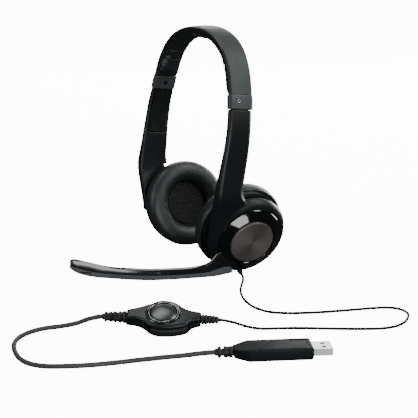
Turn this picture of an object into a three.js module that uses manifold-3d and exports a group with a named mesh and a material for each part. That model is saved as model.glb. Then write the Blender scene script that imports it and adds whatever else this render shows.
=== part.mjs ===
// Office headset: a sprung headband, two pivoting ear cups, a swinging microphone boom,
// and a lead with an in-line remote and a USB plug. Millimetres, +X forward, +Y to the
// wearer's left, +Z up, origin on the table below the middle of the headset's box.
import * as THREE from 'three';
import { mergeVertices } from 'three/addons/utils/BufferGeometryUtils.js';
import Module from 'manifold-3d';

const wasm = await Module();
wasm.setup();

// ---- driving dimensions -------------------------------------------------------------
const GAP = 0.3;                 // clearance between neighbouring pieces
const ROUND = 28;                // facets round a large turned piece
const SMALL_ROUND = 16;          // facets round a small turned piece

const BOX_MIDDLE = 44.3;         // the headset's box is centred on the origin by this shift

const CUP_CENTRE = new THREE.Vector3(-2.8, 54.8, 28.1);
const CUP_OUTWARD = new THREE.Vector3(0.12, 0.95, -0.285).normalize();
const PIVOT_DEPTH = 7;           // the cup's pivot, inward from the middle of the dish
const RIGHT_SWIVEL = 8.5;        // degrees: the right cup rests turned towards the front

const BAND_HALF = 9.25;          // half the headband's width
const SHELL_WALL = 1.5;
const LINER_OUT = -3.0;
const LINER_IN = -3.8;
const CUSHION_IN = -7.2;
const CAP_BOTTOM = 124.9;        // heights of the end cap's two faces
const CAP_TOP = 134.8;
const ARM_TOP = CAP_BOTTOM - GAP;
const ARM_THICK = 4.6;
const CHANNEL_BOTTOM = 89;       // how far down the arm its slider channel runs
const STRIP_BOTTOM = 92;
const STRIP_TOP = 146;

const DISH_RADIUS = 31;
const RING_RADIUS = 24.7;
const BADGE_RADIUS = 17;
const SHELL_RADIUS = 31.5;
const PAD_RADIUS = 33.5;
const PAD_HOLE = 16.5;
const PAD_FACE = 28;             // depth of the pad's ear side
const BAFFLE_DEPTH = 17.2;

const THIN_CORD = 1.9;
const THICK_CORD = 3.2;
const REMOTE_CENTRE = new THREE.Vector3(102.8, 113.9, 8.7);
const REMOTE_TURN = 143.45;      // degrees about +Z: its thin-cord end points this way
const REMOTE_ROLL = 20;          // degrees: it lies rolled on its rounded edge
const REMOTE_HALF = 24;          // half the body's length
const PLUG_START = new THREE.Vector3(98.2, 167.6, 4.1);
const PLUG_TURN = 153.26;
const PLUG_HALF = 8.6;           // half the plug body's width

// The outer line of the headband and the left arm, from the crown down into the dish.
const ARCH_SIDE = [
  [0.1, 14.7, 175.4], [0.7, 28.8, 170.9], [1.6, 40.1, 163.1], [3.0, 48.6, 151.5],
  [4.4, 53.7, 138.3], [6.1, 56.9, 125.9], [7.9, 59.1, 114.3], [9.5, 60.0, 103.9],
  [11.2, 60.1, 93.1], [12.9, 59.4, 82.3], [14.9, 58.6, 70.5], [16.6, 57.4, 60],
  [17.8, 55.1, 52], [18.6, 52.5, 45], [18.6, 48.0, 30],
];
const ARCH_CROWN = [0, 0, 176.6];

// ---- materials ----------------------------------------------------------------------
const finish = (color, roughness, metalness = 0) => () =>
  new THREE.MeshStandardMaterial({ color, roughness, metalness });
const FINISHES = {
  charcoal: finish(0x23272a, 0.55),
  satin: finish(0x16191b, 0.42),
  gloss: finish(0x0a0b0c, 0.12),
  disc: finish(0x35322f, 0.38, 0.6),
  leatherette: finish(0x17191b, 0.6),
  cloth: finish(0x101112, 0.95),
  steel: finish(0xb9bcc0, 0.28, 1),
  dull: finish(0x2a2c2e, 0.6),
  board: finish(0x1e4a33, 0.5),
  film: finish(0x8a7a55, 0.4),
  rubber: finish(0x141617, 0.7),
  cord: finish(0x2a2d2f, 0.5),
};

// ---- geometry helpers ---------------------------------------------------------------
function signedVolume(geometry) {
  const place = geometry.getAttribute('position');
  const index = geometry.index.array;
  const [a, b, c] = [new THREE.Vector3(), new THREE.Vector3(), new THREE.Vector3()];
  let total = 0;
  for (let i = 0; i < index.length; i += 3) {
    a.fromBufferAttribute(place, index[i]);
    b.fromBufferAttribute(place, index[i + 1]);
    c.fromBufferAttribute(place, index[i + 2]);
    total += a.dot(b.cross(c)) / 6;
  }
  return total;
}

// One closed skin: vertices shared, no collapsed triangles, faces pointing out.
function weld(source) {
  source.deleteAttribute('normal');
  source.deleteAttribute('uv');
  const geometry = mergeVertices(source, 1e-4);
  const kept = [];
  const index = geometry.index.array;
  for (let i = 0; i < index.length; i += 3) {
    const [a, b, c] = [index[i], index[i + 1], index[i + 2]];
    if (a !== b && b !== c && c !== a) kept.push(a, b, c);
  }
  geometry.setIndex(kept);
  if (signedVolume(geometry) < 0) {
    for (let i = 0; i < kept.length; i += 3) [kept[i], kept[i + 1]] = [kept[i + 1], kept[i]];
    geometry.setIndex(kept);
  }
  return geometry;
}

function solid(geometry) {
  const welded = weld(geometry.clone());
  return new wasm.Manifold(new wasm.Mesh({
    numProp: 3,
    vertProperties: new Float32Array(welded.getAttribute('position').array),
    triVerts: new Uint32Array(welded.index.array),
  }));
}

function skin(manifold) {
  const mesh = manifold.getMesh();
  const geometry = new THREE.BufferGeometry();
  geometry.setAttribute('position', new THREE.BufferAttribute(mesh.vertProperties, 3));
  geometry.setIndex(Array.from(mesh.triVerts));
  return geometry;
}

const cut = (body, ...tools) => skin(tools.reduce((left, t) => left.subtract(solid(t)), solid(body)));
const join = (body, ...more) => skin(more.reduce((left, t) => left.add(solid(t)), solid(body)));

// A skin over rings of equal count, closed at both ends by the first ring's outline.
function loft(rings, outline) {
  const count = outline.length;
  const points = rings.flat();
  const faces = [];
  for (let ring = 0; ring + 1 < rings.length; ring += 1) {
    for (let i = 0; i < count; i += 1) {
      const j = (i + 1) % count;
      const [a, b] = [ring * count + i, ring * count + j];
      faces.push(a, b, b + count, a, b + count, a + count);
    }
  }
  const flat = outline.map(([x, y]) => new THREE.Vector2(x, y));
  const last = (rings.length - 1) * count;
  for (const [a, b, c] of THREE.ShapeUtils.triangulateShape(flat, [])) {
    faces.push(c, b, a, last + a, last + b, last + c);
  }
  const geometry = new THREE.BufferGeometry().setFromPoints(points);
  geometry.setIndex(faces);
  return weld(geometry);
}

// A turned piece from [radius, depth] points; its axis is Z.
function turned(profile, facets = ROUND) {
  const points = profile.map(([radius, depth]) => new THREE.Vector2(radius, depth));
  return weld(new THREE.LatheGeometry(points, facets).rotateX(Math.PI / 2));
}

const closedTurned = (profile, facets) => turned([...profile, profile[0]], facets);

function block(x0, x1, y0, y1, z0, z1) {
  const box = new THREE.BoxGeometry(x1 - x0, y1 - y0, z1 - z0);
  return weld(box.translate((x0 + x1) / 2, (y0 + y1) / 2, (z0 + z1) / 2));
}

function plate(outline, z0, z1, bevel = 0) {
  const shape = new THREE.Shape(outline.map(([x, y]) => new THREE.Vector2(x, y)));
  const geometry = new THREE.ExtrudeGeometry(shape, {
    depth: z1 - z0 - 2 * bevel,
    bevelEnabled: bevel > 0,
    bevelThickness: bevel,
    bevelSize: bevel,
    bevelOffset: -bevel,
    bevelSegments: 2,
    steps: 1,
  });
  return weld(geometry.translate(0, 0, z0 + bevel));
}

function addPiece(parent, name, geometry, material) {
  const mesh = new THREE.Mesh(geometry, FINISHES[material]());
  mesh.name = name;
  parent.add(mesh);
}

// ---- the arch that the headband and the arms follow ---------------------------------
const leftSide = [...ARCH_SIDE].reverse();
const rightSide = ARCH_SIDE.map(([x, y, z]) => [x, -y, z]);
const ARCH = new THREE.CatmullRomCurve3(
  [...leftSide, ARCH_CROWN, ...rightSide].map((p) => new THREE.Vector3(...p)),
  false, 'centripetal');
ARCH.arcLengthDivisions = 2000;

// The place along the arch, from 0 to 0.5, where its left half reaches a height.
function leftAt(height) {
  let [low, high] = [0, 0.5];
  for (let i = 0; i < 40; i += 1) {
    const middle = (low + high) / 2;
    if (ARCH.getPointAt(middle).z < height) low = middle;
    else high = middle;
  }
  return low;
}

// A solid swept along the arch. section(t, point) gives [across, outward] points.
function swept(from, to, steps, section) {
  const rings = [];
  let outline = null;
  for (let i = 0; i <= steps; i += 1) {
    const t = from + (to - from) * i / steps;
    const point = ARCH.getPointAt(t);
    const along = ARCH.getTangentAt(t);
    const across = new THREE.Vector3(1, 0, 0).addScaledVector(along, -along.x).normalize();
    const outward = new THREE.Vector3().crossVectors(along, across);
    const shape = section(t, point);
    outline = outline ?? shape;
    rings.push(shape.map(([a, b]) =>
      point.clone().addScaledVector(across, a).addScaledVector(outward, b)));
  }
  return loft(rings, outline);
}

const rectangle = (half, low, high) => () =>
  [[-half, low], [half, low], [half, high], [-half, high]];

// ---- headband -----------------------------------------------------------------------
function headbandShell() {
  const lip = BAND_HALF - 1.3;
  return swept(leftAt(CAP_TOP + GAP), 1 - leftAt(CAP_TOP + GAP), 26, () => [
    [-BAND_HALF, -3.9], [-lip, -3.9], [-lip, -SHELL_WALL], [lip, -SHELL_WALL],
    [lip, -3.9], [BAND_HALF, -3.9], [BAND_HALF, -1.0], [BAND_HALF - 1.4, 0],
    [1.4 - BAND_HALF, 0], [-BAND_HALF, -1.0]]);
}

function headbandCushion() {
  const start = leftAt(CAP_TOP + 2);
  return swept(start, 1 - start, 24, () => [
    [-7.4, CUSHION_IN], [7.4, CUSHION_IN], [8.9, -5.6], [8.6, -4.2], [-8.6, -4.2], [-8.9, -5.6]]);
}

function bandPiece(fromHeight, steps, half, low, high) {
  const start = leftAt(fromHeight);
  return swept(start, 1 - start, steps, rectangle(half, low, high));
}

function endCap() {
  const block_ = swept(leftAt(CAP_BOTTOM), leftAt(CAP_TOP), 3, () => [
    [-9.7, -4.2], [-8.4, -5.2], [8.4, -5.2], [9.7, -4.2],
    [9.7, -0.8], [8.2, 0.5], [-8.2, 0.5], [-9.7, -0.8]]);
  const slot = swept(leftAt(CAP_BOTTOM - 3), leftAt(CAP_TOP + 3), 4, rectangle(6.1, -3.1, -1.45));
  const seat = swept(leftAt(128), leftAt(131.6), 1, rectangle(1.9, -6, -4.1));
  return cut(block_, slot, seat);
}

const capScrew = () => swept(leftAt(128.4), leftAt(131.2), 1, rectangle(1.5, -5.1, -4.4));

// The strip is fixed in the headband, and the arm slides along it.
const sliderStrip = () =>
  swept(leftAt(STRIP_BOTTOM), leftAt(STRIP_TOP), 9, rectangle(5.5, -2.75, -1.85));

// ---- arm and dish -------------------------------------------------------------------
// By height: half widths of the arm ahead of and behind the arch line, and how far it stands
// out past that line to run flush into the dish.
const ARM_EDGES = [
  [30, 9.2, 24, 3.4], [45, 9.2, 26, 3.4], [52, 10, 28, 3.4], [56, 10.6, 24.6, 3.4],
  [59, 11, 19, 3.3], [62, 11.2, 15, 3.1], [66, 11.3, 12.4, 2.7], [71, 11.2, 11.2, 2.0],
  [82.3, 10.8, 10.7, 0.7], [93, 10.3, 10.3, 0], [104, 9.8, 9.9, 0], [126, 9.25, 9.25, 0],
];

function armEdge(height, side) {
  const last = ARM_EDGES.length - 1;
  const i = Math.min(last - 1, Math.max(0, ARM_EDGES.findIndex(([z]) => z > height) - 1));
  const [low, high] = [ARM_EDGES[i], ARM_EDGES[i + 1]];
  const share = THREE.MathUtils.clamp((height - low[0]) / (high[0] - low[0]), 0, 1);
  return THREE.MathUtils.lerp(low[side], high[side], share);
}

function armSection(height) {
  const front = armEdge(height, 1);
  const back = -armEdge(height, 2);
  const out = armEdge(height, 3);
  return [
    [back, -ARM_THICK + 1], [back + 1, -ARM_THICK], [front - 1, -ARM_THICK],
    [front, -ARM_THICK + 1], [front, out - 1.2], [front - 1.5, out], [back + 2.8 + out, out],
    [back, -1.7]];
}

const DISH_PROFILE = [
  [0, 0.3], [25.2, 0.3], [27.6, 1.0], [29.6, 2.7], [30.8, 5.0], [DISH_RADIUS, 6.5],
  [29.6, 6.5], [28.9, 4.6], [27, 3.0], [24, 2.5], [0, 2.5]];

function armAndDish(cupFrame) {
  const arm = swept(0, leftAt(ARM_TOP), 20, (t, point) => armSection(point.z));
  const hollow = turned([[0, 2.0], [24, 2.0], [27, 2.6], [29.3, 4.8], [29.8, 6.6], [34.6, 6.6],
    [34.6, 60], [0, 60]]).applyMatrix4(cupFrame);
  const above = turned([[0, -9], [46, -9], [46, 0.9], [26, 0.9], [25, 0.3], [0, 0.3]])
    .applyMatrix4(cupFrame);
  const liner = swept(leftAt(CHANNEL_BOTTOM), leftAt(ARM_TOP + 3), 6, rectangle(7.2, -6, -3.05));
  const channel = swept(leftAt(CHANNEL_BOTTOM), leftAt(ARM_TOP + 3), 6, rectangle(6.1, -3.1, -1.45));
  const dish = turned(DISH_PROFILE).applyMatrix4(cupFrame);
  const lugs = [-1, 1].map((side) => pivotLug(side, 2.2).applyMatrix4(cupFrame));
  return join(cut(arm, hollow, above, liner, channel), dish, ...lugs);
}

const armLiner = () =>
  swept(leftAt(CHANNEL_BOTTOM + 0.6), leftAt(ARM_TOP - 0.4), 6, rectangle(6.9, -4.5, -3.4));

// ---- the pivot between dish and cup -------------------------------------------------
// Two lugs on the dish hold the ring's upright pins, and two on the cup its level ones.
const PIN_RADIUS = 0.9;

function pinHole(upright) {
  const hole = new THREE.CylinderGeometry(PIN_RADIUS + 0.35, PIN_RADIUS + 0.35, 40, 12);
  return (upright ? hole : hole.rotateZ(Math.PI / 2)).translate(0, 0, PIVOT_DEPTH);
}

function pivotLug(side, top) {
  const lug = block(-2.6, 2.6, 9.4, 11.4, top, PIVOT_DEPTH + 2.2);
  return cut(lug.rotateZ(side > 0 ? 0 : Math.PI), pinHole(true));
}

function cupLug(side, bottom) {
  const lug = block(-2.6, 2.6, 9.4, 11.4, PIVOT_DEPTH - 1.7, bottom);
  return cut(lug.rotateZ(side * Math.PI / 2), pinHole(false));
}

function pivotRing() {
  const ring = closedTurned([[5, 5.9], [7.8, 5.9], [7.8, 8.1], [5, 8.1]], SMALL_ROUND);
  const pins = [0, 1, 2, 3].map((quarter) => {
    const pin = new THREE.CylinderGeometry(PIN_RADIUS, PIN_RADIUS, 4.2, 12);
    return pin.translate(0, 9.0, 0).rotateZ(quarter * Math.PI / 2).translate(0, 0, PIVOT_DEPTH);
  });
  return join(ring, ...pins);
}

// ---- ear cup ------------------------------------------------------------------------
function cupShell() {
  const bowl = turned([
    [0, 12.0], [20, 12.0], [26.5, 12.6], [30, 13.8], [31.3, 15.2], [SHELL_RADIUS, 16.6],
    [29.9, 16.6], [29.6, 15.6], [28, 14.6], [20, 13.5], [0, 13.5]]);
  return join(bowl, cupLug(-1, 12.4), cupLug(1, 12.4));
}

function baffle() {
  const disc = closedTurned([[15.4, 16.9], [29.2, 16.9], [29.2, 18.1], [15.4, 18.1]]);
  return disc;
}

const driverBasket = () => turned([
  [0, 15.2], [8, 15.2], [15, 16.9], [15.05, 19.2], [13.6, 19.2], [13.6, 17.6], [8, 16.2], [0, 16.2]], 24);
const driverMagnet = () => turned([[0, 13.8], [6.5, 13.8], [6.5, 14.9], [0, 14.9]], SMALL_ROUND);
const diaphragm = () => turned([[0, 17.4], [13.2, 18.4], [13.2, 18.9], [0, 17.9]], 24);
const padCloth = () => turned([[0, 19.7], [16.1, 19.7], [16.1, 20.3], [0, 20.3]], 24);

function earPad() {
  return closedTurned([
    [31.9, 14.2], [32.9, 14.4], [PAD_RADIUS, 17.5], [33.3, 22], [31.4, 25.8], [27.5, PAD_FACE],
    [22, PAD_FACE], [18.2, 26], [PAD_HOLE, 22.6], [PAD_HOLE, 19.4], [21, 18.4], [31.9, 18.4]]);
}

function buildCup(side, pivot) {
  addPiece(pivot, `${side}_cup_shell`, cupShell(), 'satin');
  addPiece(pivot, `${side}_baffle`, baffle(), 'dull');
  addPiece(pivot, `${side}_driver_basket`, driverBasket(), 'dull');
  addPiece(pivot, `${side}_driver_magnet`, driverMagnet(), 'steel');
  addPiece(pivot, `${side}_diaphragm`, diaphragm(), 'film');
  addPiece(pivot, `${side}_ear_pad`, earPad(), 'leatherette');
  addPiece(pivot, `${side}_pad_cloth`, padCloth(), 'cloth');
}

// ---- badge, hub ring and boom -------------------------------------------------------
const badgeDisc = () => turned([
  [0, -5.4], [15.4, -5.4], [16.6, -5.1], [BADGE_RADIUS, -4.4], [BADGE_RADIUS, 0], [0, 0]], ROUND);

const ringProfile = [[17.4, 0], [17.4, -4.4], [17.9, -4.9], [18.7, -4.9], [24.3, -1.3],
  [RING_RADIUS, -0.7], [RING_RADIUS, 0]];
const hubRing = () => closedTurned(ringProfile);

// Stations along the boom: forward, lower edge, colour line, upper edge (all from the hub).
const BOOM = [
  [12, -26.4, -19, -9], [18, -26.9, -19.2, -7], [22, -27.1, -19.6, -6.2], [25, -27.2, -20.3, -8],
  [27.5, -27.1, -21, -11.2], [30, -27, -21.5, -14.2], [34, -26.7, -21.7, -16], [45, -25.7, -21, -16.4],
  [61, -24.2, -19.6, -15], [76, -22.8, -18, -13.6], [90, -21, -16.2, -11.8], [104, -18.9, -14.4, -9.8],
  [113, -17.7, -12.9, -7.6], [121, -16, -11, -5.1], [127, -14, -9.2, -3.6], [130.5, -12, -8.1, -2.9],
  [132, -10.4, -7.4, -3.4],
];
const boomDepth = (forward) => -1.9 + 12 * Math.max(0, (forward - 50) / 85) ** 2;
const boomHalf = (forward) => (forward > 131 ? 1.4 : 2.0 + 0.4 * Math.max(0, (forward - 90) / 40));

function boomLoft(section) {
  const rings = BOOM.map(([forward, low, middle, high]) => {
    const depth = boomDepth(forward);
    return section(low, middle, high, boomHalf(forward))
      .map(([up, inward]) => new THREE.Vector3(forward, up, depth + inward));
  });
  const [, low, middle, high] = BOOM[0];
  return loft(rings, section(low, middle, high, boomHalf(0)));
}

function boomBody() {
  const arm = boomLoft((low, middle, high, half) => [
    [middle - 0.15, -half], [middle - 0.15, half], [low + 1.3, half], [low, half * 0.4],
    [low, -half * 0.4], [low + 1.6, -half]]);
  const hub = turned([[0, -9], [RING_RADIUS + GAP, -9], [RING_RADIUS + GAP, 3], [0, 3]]);
  const slot = block(118.5, 127.5, -13.5, -11.9, -9, 20);
  const capsuleSeat = turned([[0, 4.4], [1.8, 4.4], [1.8, 15], [0, 15]], SMALL_ROUND)
    .translate(112.5, -15.4, 0);
  return cut(arm, hub, slot, capsuleSeat);
}

function hubAndTrim() {
  const trim = boomLoft((low, middle, high, half) => [
    [middle + 0.15, -half - 0.25], [high - 1.3, -half], [high, -half * 0.3],
    [high, half * 0.4], [high - 1.1, half], [middle + 0.15, half]]);
  const bore = turned([[0, -9], [18, -9], [18, 3], [0, 3]]);
  return join(hubRing(), cut(trim, bore));
}

const micFoam = () => block(119, 127, -13.2, -12.2, 5.9, 8.4);
const micCapsule = () => turned([[0, 4.9], [1.5, 4.9], [1.5, 6.4], [0, 6.4]], SMALL_ROUND)
  .translate(112.5, -15.4, 0);

// ---- cord, remote and plug ----------------------------------------------------------
// Where the thin cord and the thick cord run, laid on the table.
const THIN_ROUTE = [
  [3.1, 53.9, 1.75], [5.6, 59.5, 1.15], [9, 64.5, 1.0], [14.5, 71, 1.0], [21, 79.5, 1.0],
  [27.3, 91, 1.0], [31, 103, 1.0], [31.6, 114, 1.0], [28.4, 124, 1.0], [21.6, 131.2, 1.0],
  [12, 137.2, 1.0], [-2, 143.8, 1.0], [-20, 150.6, 1.0], [-36, 156.4, 1.0], [-44.8, 161, 1.0],
  [-49.4, 167.4, 1.0], [-48.8, 175, 1.0], [-43.2, 181.6, 1.0], [-35.4, 186.4, 1.0],
  [-26.8, 188.4, 1.0], [-17.4, 186.8, 1.0], [-4, 179.6, 1.0], [11, 169.6, 1.0],
  [27, 158.6, 1.0], [40, 151, 1.0], [50, 147, 1.6], [59, 143.8, 3.9], [66.6, 140.2, 7.1],
  [73.6, 135.6, 8.7],
];
const THICK_ROUTE = [
  [134.9, 90.2, 8.7], [141.4, 85.4, 6.8], [148.4, 80.6, 3.6], [156.6, 76.2, 1.9],
  [166.4, 73.4, 1.65], [176.4, 73.8, 1.65], [185.4, 77.6, 1.65], [191.8, 84, 1.65],
  [195.6, 91.6, 1.65], [198, 101, 1.65], [198.8, 110.4, 1.65], [196.6, 119.4, 1.65],
  [190.6, 127, 1.65], [180.6, 133.4, 1.65], [167.6, 139.6, 1.65], [153.4, 144.6, 1.65],
  [139.4, 148.6, 1.65], [126.4, 152.6, 1.65], [114.6, 158, 2.2], [106.2, 163.2, 3.5],
  [98.5, 167.45, 4.1],
];

function cord(route, diameter, steps) {
  const path = new THREE.CatmullRomCurve3(route.map((p) => new THREE.Vector3(...p)), false, 'centripetal');
  const ring = [];
  for (let side = 0; side < 8; side += 1) {
    const angle = (side + 0.5) * Math.PI / 4;
    ring.push(new THREE.Vector2(Math.cos(angle), Math.sin(angle)).multiplyScalar(diameter / 2));
  }
  return weld(new THREE.ExtrudeGeometry(new THREE.Shape(ring), { steps, extrudePath: path }));
}

// A ribbed, tapering strain relief along +X.
function ribbedRelief(length, rootRadius, tipRadius, ribs) {
  const pitch = length / ribs;
  const profile = [[0, 0]];
  for (let i = 0; i < ribs; i += 1) {
    const radius = THREE.MathUtils.lerp(rootRadius, tipRadius + 1.1, i / (ribs - 1));
    profile.push([radius, i * pitch], [radius, i * pitch + pitch * 0.52]);
    if (i < ribs - 1) {
      profile.push([radius - 1.1, i * pitch + pitch * 0.56], [radius - 1.1, i * pitch + pitch * 0.96]);
    }
  }
  profile.push([tipRadius, length - pitch * 0.4], [tipRadius, length], [0, length]);
  return turned(profile, 10).rotateY(Math.PI / 2);
}

function gland() {
  const relief = turned([[0, 0], [1.75, 0], [1.7, 3], [1.25, 7.2], [0, 7.2]], 10);
  const aim = new THREE.Quaternion().setFromUnitVectors(
    new THREE.Vector3(0, 0, 1), new THREE.Vector3(0.36, 0.93, -0.05).normalize());
  return relief.applyQuaternion(aim).translate(0.4, 46.9, 2.1);
}

// The remote's outline seen from above, the thin cord's end at +X.
const REMOTE_OUTLINE = [
  [-24, 4.2], [-15.5, 6.6], [-8.5, 9.6], [-2, 12.2], [3, 12.4], [7.6, 10.6], [12, 6.9], [17, 4.4],
  [24, 3.6], [24, -3.6], [18.6, -5.6], [16, -9.6], [10, -12], [2, -13.2], [-4, -12.8], [-8.4, -10.6],
  [-12.2, -7.2], [-17, -4.8], [-24, -4.2],
];
const ROCKER_OUTLINE = [
  [-6.6, -10.2], [16, -8.6], [15.6, -11.2], [10, -13.4], [2, -14.6], [-3.6, -14.1], [-7, -12.4],
];

const remoteCavity = (z0, z1) => join(
  block(-20, 20, -3.2, 3.2, z0, z1),
  turned([[0, z0], [10.3, z0], [10.3, z1], [0, z1]], 24));

const rockerSlot = () => block(-8.2, 17.2, -18, -7.6, -2.4, 2.4);

function remoteUpper() {
  const body = plate(REMOTE_OUTLINE, 0.15, 4.8, 1.9);
  const window = turned([[0, 1], [8.9, 1], [8.9, 9], [0, 9]], 24);
  const seat = turned([[0, 4.2], [11.5, 4.2], [11.5, 9], [0, 9]], 24);
  return cut(body, remoteCavity(-1, 2.9), window, seat, rockerSlot());
}

function remoteLower() {
  const body = plate(REMOTE_OUTLINE, -5.2, -0.15, 2.1);
  const screwWell = turned([[0, -9], [1.9, -9], [1.9, -4.1], [0, -4.1]], 12).translate(-15, 0, 0);
  return cut(body, remoteCavity(-3.2, 1), screwWell, rockerSlot());
}

const remoteScrew = () => turned([[0, -5], [1.5, -5], [1.5, -4.4], [0, -4.4]], 12).translate(-15, 0, 0);
const bezel = () => closedTurned([[9.1, 4.5], [11.2, 4.5], [11.2, 5.3], [10.6, 5.7], [9.4, 5.5], [9.1, 5.2]], 28);
const muteButton = () => turned([
  [0, 2.1], [1.8, 2.1], [1.8, 3.3], [8.5, 3.3], [8.5, 5.2], [7.4, 5.7], [4, 6.3], [0, 6.5]], 28);

function buildRemote(parent) {
  const remote = new THREE.Group();
  remote.position.copy(REMOTE_CENTRE);
  remote.rotation.set(THREE.MathUtils.degToRad(REMOTE_ROLL), 0, THREE.MathUtils.degToRad(REMOTE_TURN), 'ZYX');
  addPiece(remote, 'remote_upper_shell', remoteUpper(), 'satin');
  addPiece(remote, 'remote_lower_shell', remoteLower(), 'satin');
  addPiece(remote, 'remote_screw', remoteScrew(), 'steel');
  addPiece(remote, 'remote_bezel', bezel(), 'steel');
  addPiece(remote, 'mute_button', muteButton(), 'gloss');
  addPiece(remote, 'volume_rocker', plate(ROCKER_OUTLINE, -1.9, 1.9, 0.5), 'rubber');
  addPiece(remote, 'remote_board', block(-18, 9, -2.9, 2.9, -2.4, -1.4), 'board');
  addPiece(remote, 'mute_switch', block(-2.4, 2.4, -2.4, 2.4, -1.1, 0.6), 'dull');
  addPiece(remote, 'remote_outlet_relief',
    ribbedRelief(12 - GAP, 3.6, 1.5, 5).translate(REMOTE_HALF + GAP, 0, 0), 'rubber');
  addPiece(remote, 'remote_inlet_relief',
    ribbedRelief(15.5 - GAP, 4.1, 2.2, 5).rotateZ(Math.PI).translate(-REMOTE_HALF - GAP, 0, 0), 'rubber');
  parent.add(remote);
}

function plugHousing() {
  const body = plate([[11.1, 4.4], [20, PLUG_HALF], [59, PLUG_HALF], [59, -PLUG_HALF],
    [20, -PLUG_HALF], [11.1, -4.4]], -3.9, 3.9, 0.9);
  return cut(body, block(34, 70, -6.5, 6.5, -2.7, 2.7));
}

function usbShell() {
  const holes = [-2.6, 2.6].map((y) => block(64.6, 67, y - 1.2, y + 1.2, 1, 4));
  return cut(block(50, 71, -6, 6, -2.25, 2.25), block(40, 80, -5.6, 5.6, -1.85, 1.85), ...holes);
}

function buildPlug(parent) {
  const plug = new THREE.Group();
  plug.position.copy(PLUG_START);
  plug.rotation.z = THREE.MathUtils.degToRad(PLUG_TURN);
  addPiece(plug, 'plug_relief', ribbedRelief(10.8, 3.7, 2.6, 3).rotateZ(Math.PI).translate(10.8, 0, 0), 'rubber');
  addPiece(plug, 'plug_housing', plugHousing(), 'satin');
  addPiece(plug, 'plug_board', block(36, 49, -5.6, 5.6, -0.6, 0.6), 'board');
  addPiece(plug, 'usb_shell', usbShell(), 'steel');
  addPiece(plug, 'usb_tongue', block(50.6, 70.4, -5.2, 5.2, -0.1, 1.5), 'gloss');
  parent.add(plug);
}

// ---- assembly -----------------------------------------------------------------------
const headset = new THREE.Group();
headset.position.x = -BOX_MIDDLE;

const inward = CUP_OUTWARD.clone().negate();
const upright = new THREE.Vector3(0, 0, 1).addScaledVector(inward, -inward.z).normalize();
const forward = new THREE.Vector3().crossVectors(upright, inward);
const cupFrame = new THREE.Matrix4().makeBasis(forward, upright, inward).setPosition(CUP_CENTRE);

addPiece(headset, 'headband_outer_shell', headbandShell(), 'charcoal');
addPiece(headset, 'headband_spring', bandPiece(STRIP_TOP + 3, 20, 5, -2.55, -2.05), 'steel');
addPiece(headset, 'headband_liner', bandPiece(CAP_TOP + GAP, 24, 7.6, LINER_IN, LINER_OUT), 'satin');
addPiece(headset, 'headband_cushion', headbandCushion(), 'leatherette');

for (const side of ['left', 'right']) {
  const half = new THREE.Group();
  half.scale.y = side === 'left' ? 1 : -1;
  headset.add(half);
  addPiece(half, `${side}_end_cap`, endCap(), 'satin');
  addPiece(half, `${side}_cap_screw`, capScrew(), 'steel');
  addPiece(half, `${side}_slider_strip`, sliderStrip(), 'dull');
  addPiece(half, `${side}_arm_and_dish`, armAndDish(cupFrame), 'satin');
  addPiece(half, `${side}_arm_liner`, armLiner(), 'satin');
  const dish = new THREE.Group();
  dish.applyMatrix4(cupFrame);
  half.add(dish);
  addPiece(dish, `${side}_badge_disc`, badgeDisc(), 'disc');
  const swivel = new THREE.Group();
  swivel.position.z = PIVOT_DEPTH;
  swivel.rotation.y = THREE.MathUtils.degToRad(side === 'left' ? 0 : RIGHT_SWIVEL);
  dish.add(swivel);
  const cup = new THREE.Group();
  cup.position.z = -PIVOT_DEPTH;
  swivel.add(cup);
  addPiece(cup, `${side}_pivot_ring`, pivotRing(), 'dull');
  buildCup(side, cup);
  if (side === 'left') {
    addPiece(dish, 'boom_hub_and_trim', hubAndTrim(), 'gloss');
    addPiece(dish, 'boom_body', boomBody(), 'satin');
    addPiece(dish, 'mic_foam', micFoam(), 'cloth');
    addPiece(dish, 'mic_capsule', micCapsule(), 'steel');
  } else {
    addPiece(dish, 'right_cover_ring', hubRing(), 'gloss');
  }
}

addPiece(headset, 'cord_gland', gland(), 'rubber');
addPiece(headset, 'thin_cord', cord(THIN_ROUTE, THIN_CORD, 54), 'rubber');
buildRemote(headset);
addPiece(headset, 'thick_cord', cord(THICK_ROUTE, THICK_CORD, 24), 'cord');
buildPlug(headset);

export default headset;
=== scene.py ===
import math

import bmesh
import bpy
import numpy as np
from mathutils import Euler, Matrix, Vector, noise


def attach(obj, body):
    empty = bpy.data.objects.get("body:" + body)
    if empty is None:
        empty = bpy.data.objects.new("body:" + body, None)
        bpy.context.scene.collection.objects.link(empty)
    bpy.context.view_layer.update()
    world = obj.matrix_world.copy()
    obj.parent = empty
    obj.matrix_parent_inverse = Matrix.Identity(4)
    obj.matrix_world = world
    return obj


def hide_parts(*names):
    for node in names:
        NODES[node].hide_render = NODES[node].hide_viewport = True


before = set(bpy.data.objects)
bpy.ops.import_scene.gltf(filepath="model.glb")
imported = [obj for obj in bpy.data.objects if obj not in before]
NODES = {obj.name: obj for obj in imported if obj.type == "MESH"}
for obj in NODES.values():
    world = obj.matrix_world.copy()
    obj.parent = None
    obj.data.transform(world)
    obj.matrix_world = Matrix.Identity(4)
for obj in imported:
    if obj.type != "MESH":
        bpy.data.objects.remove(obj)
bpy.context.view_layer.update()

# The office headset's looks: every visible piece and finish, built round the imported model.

SCENE = bpy.context.scene

# ---- the model's own sizes, in millimetres ---------------------------------------------
BOX_MIDDLE = 44.3
CUP_CENTRE = Vector((-2.8, 54.8, 28.1))
CUP_OUTWARD = Vector((0.12, 0.95, -0.285)).normalized()
PIVOT_DEPTH = 7
RIGHT_SWIVEL = 8.5
BAND_HALF = 9.25
CAP_BOTTOM = 124.9
CAP_TOP = 134.8
GAP = 0.3
ARM_TOP = CAP_BOTTOM - GAP
ARM_THICK = 4.6
CHANNEL_BOTTOM = 89
RING_RADIUS = 24.7
REMOTE_HALF = 24
PLUG_HALF = 8.6

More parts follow.
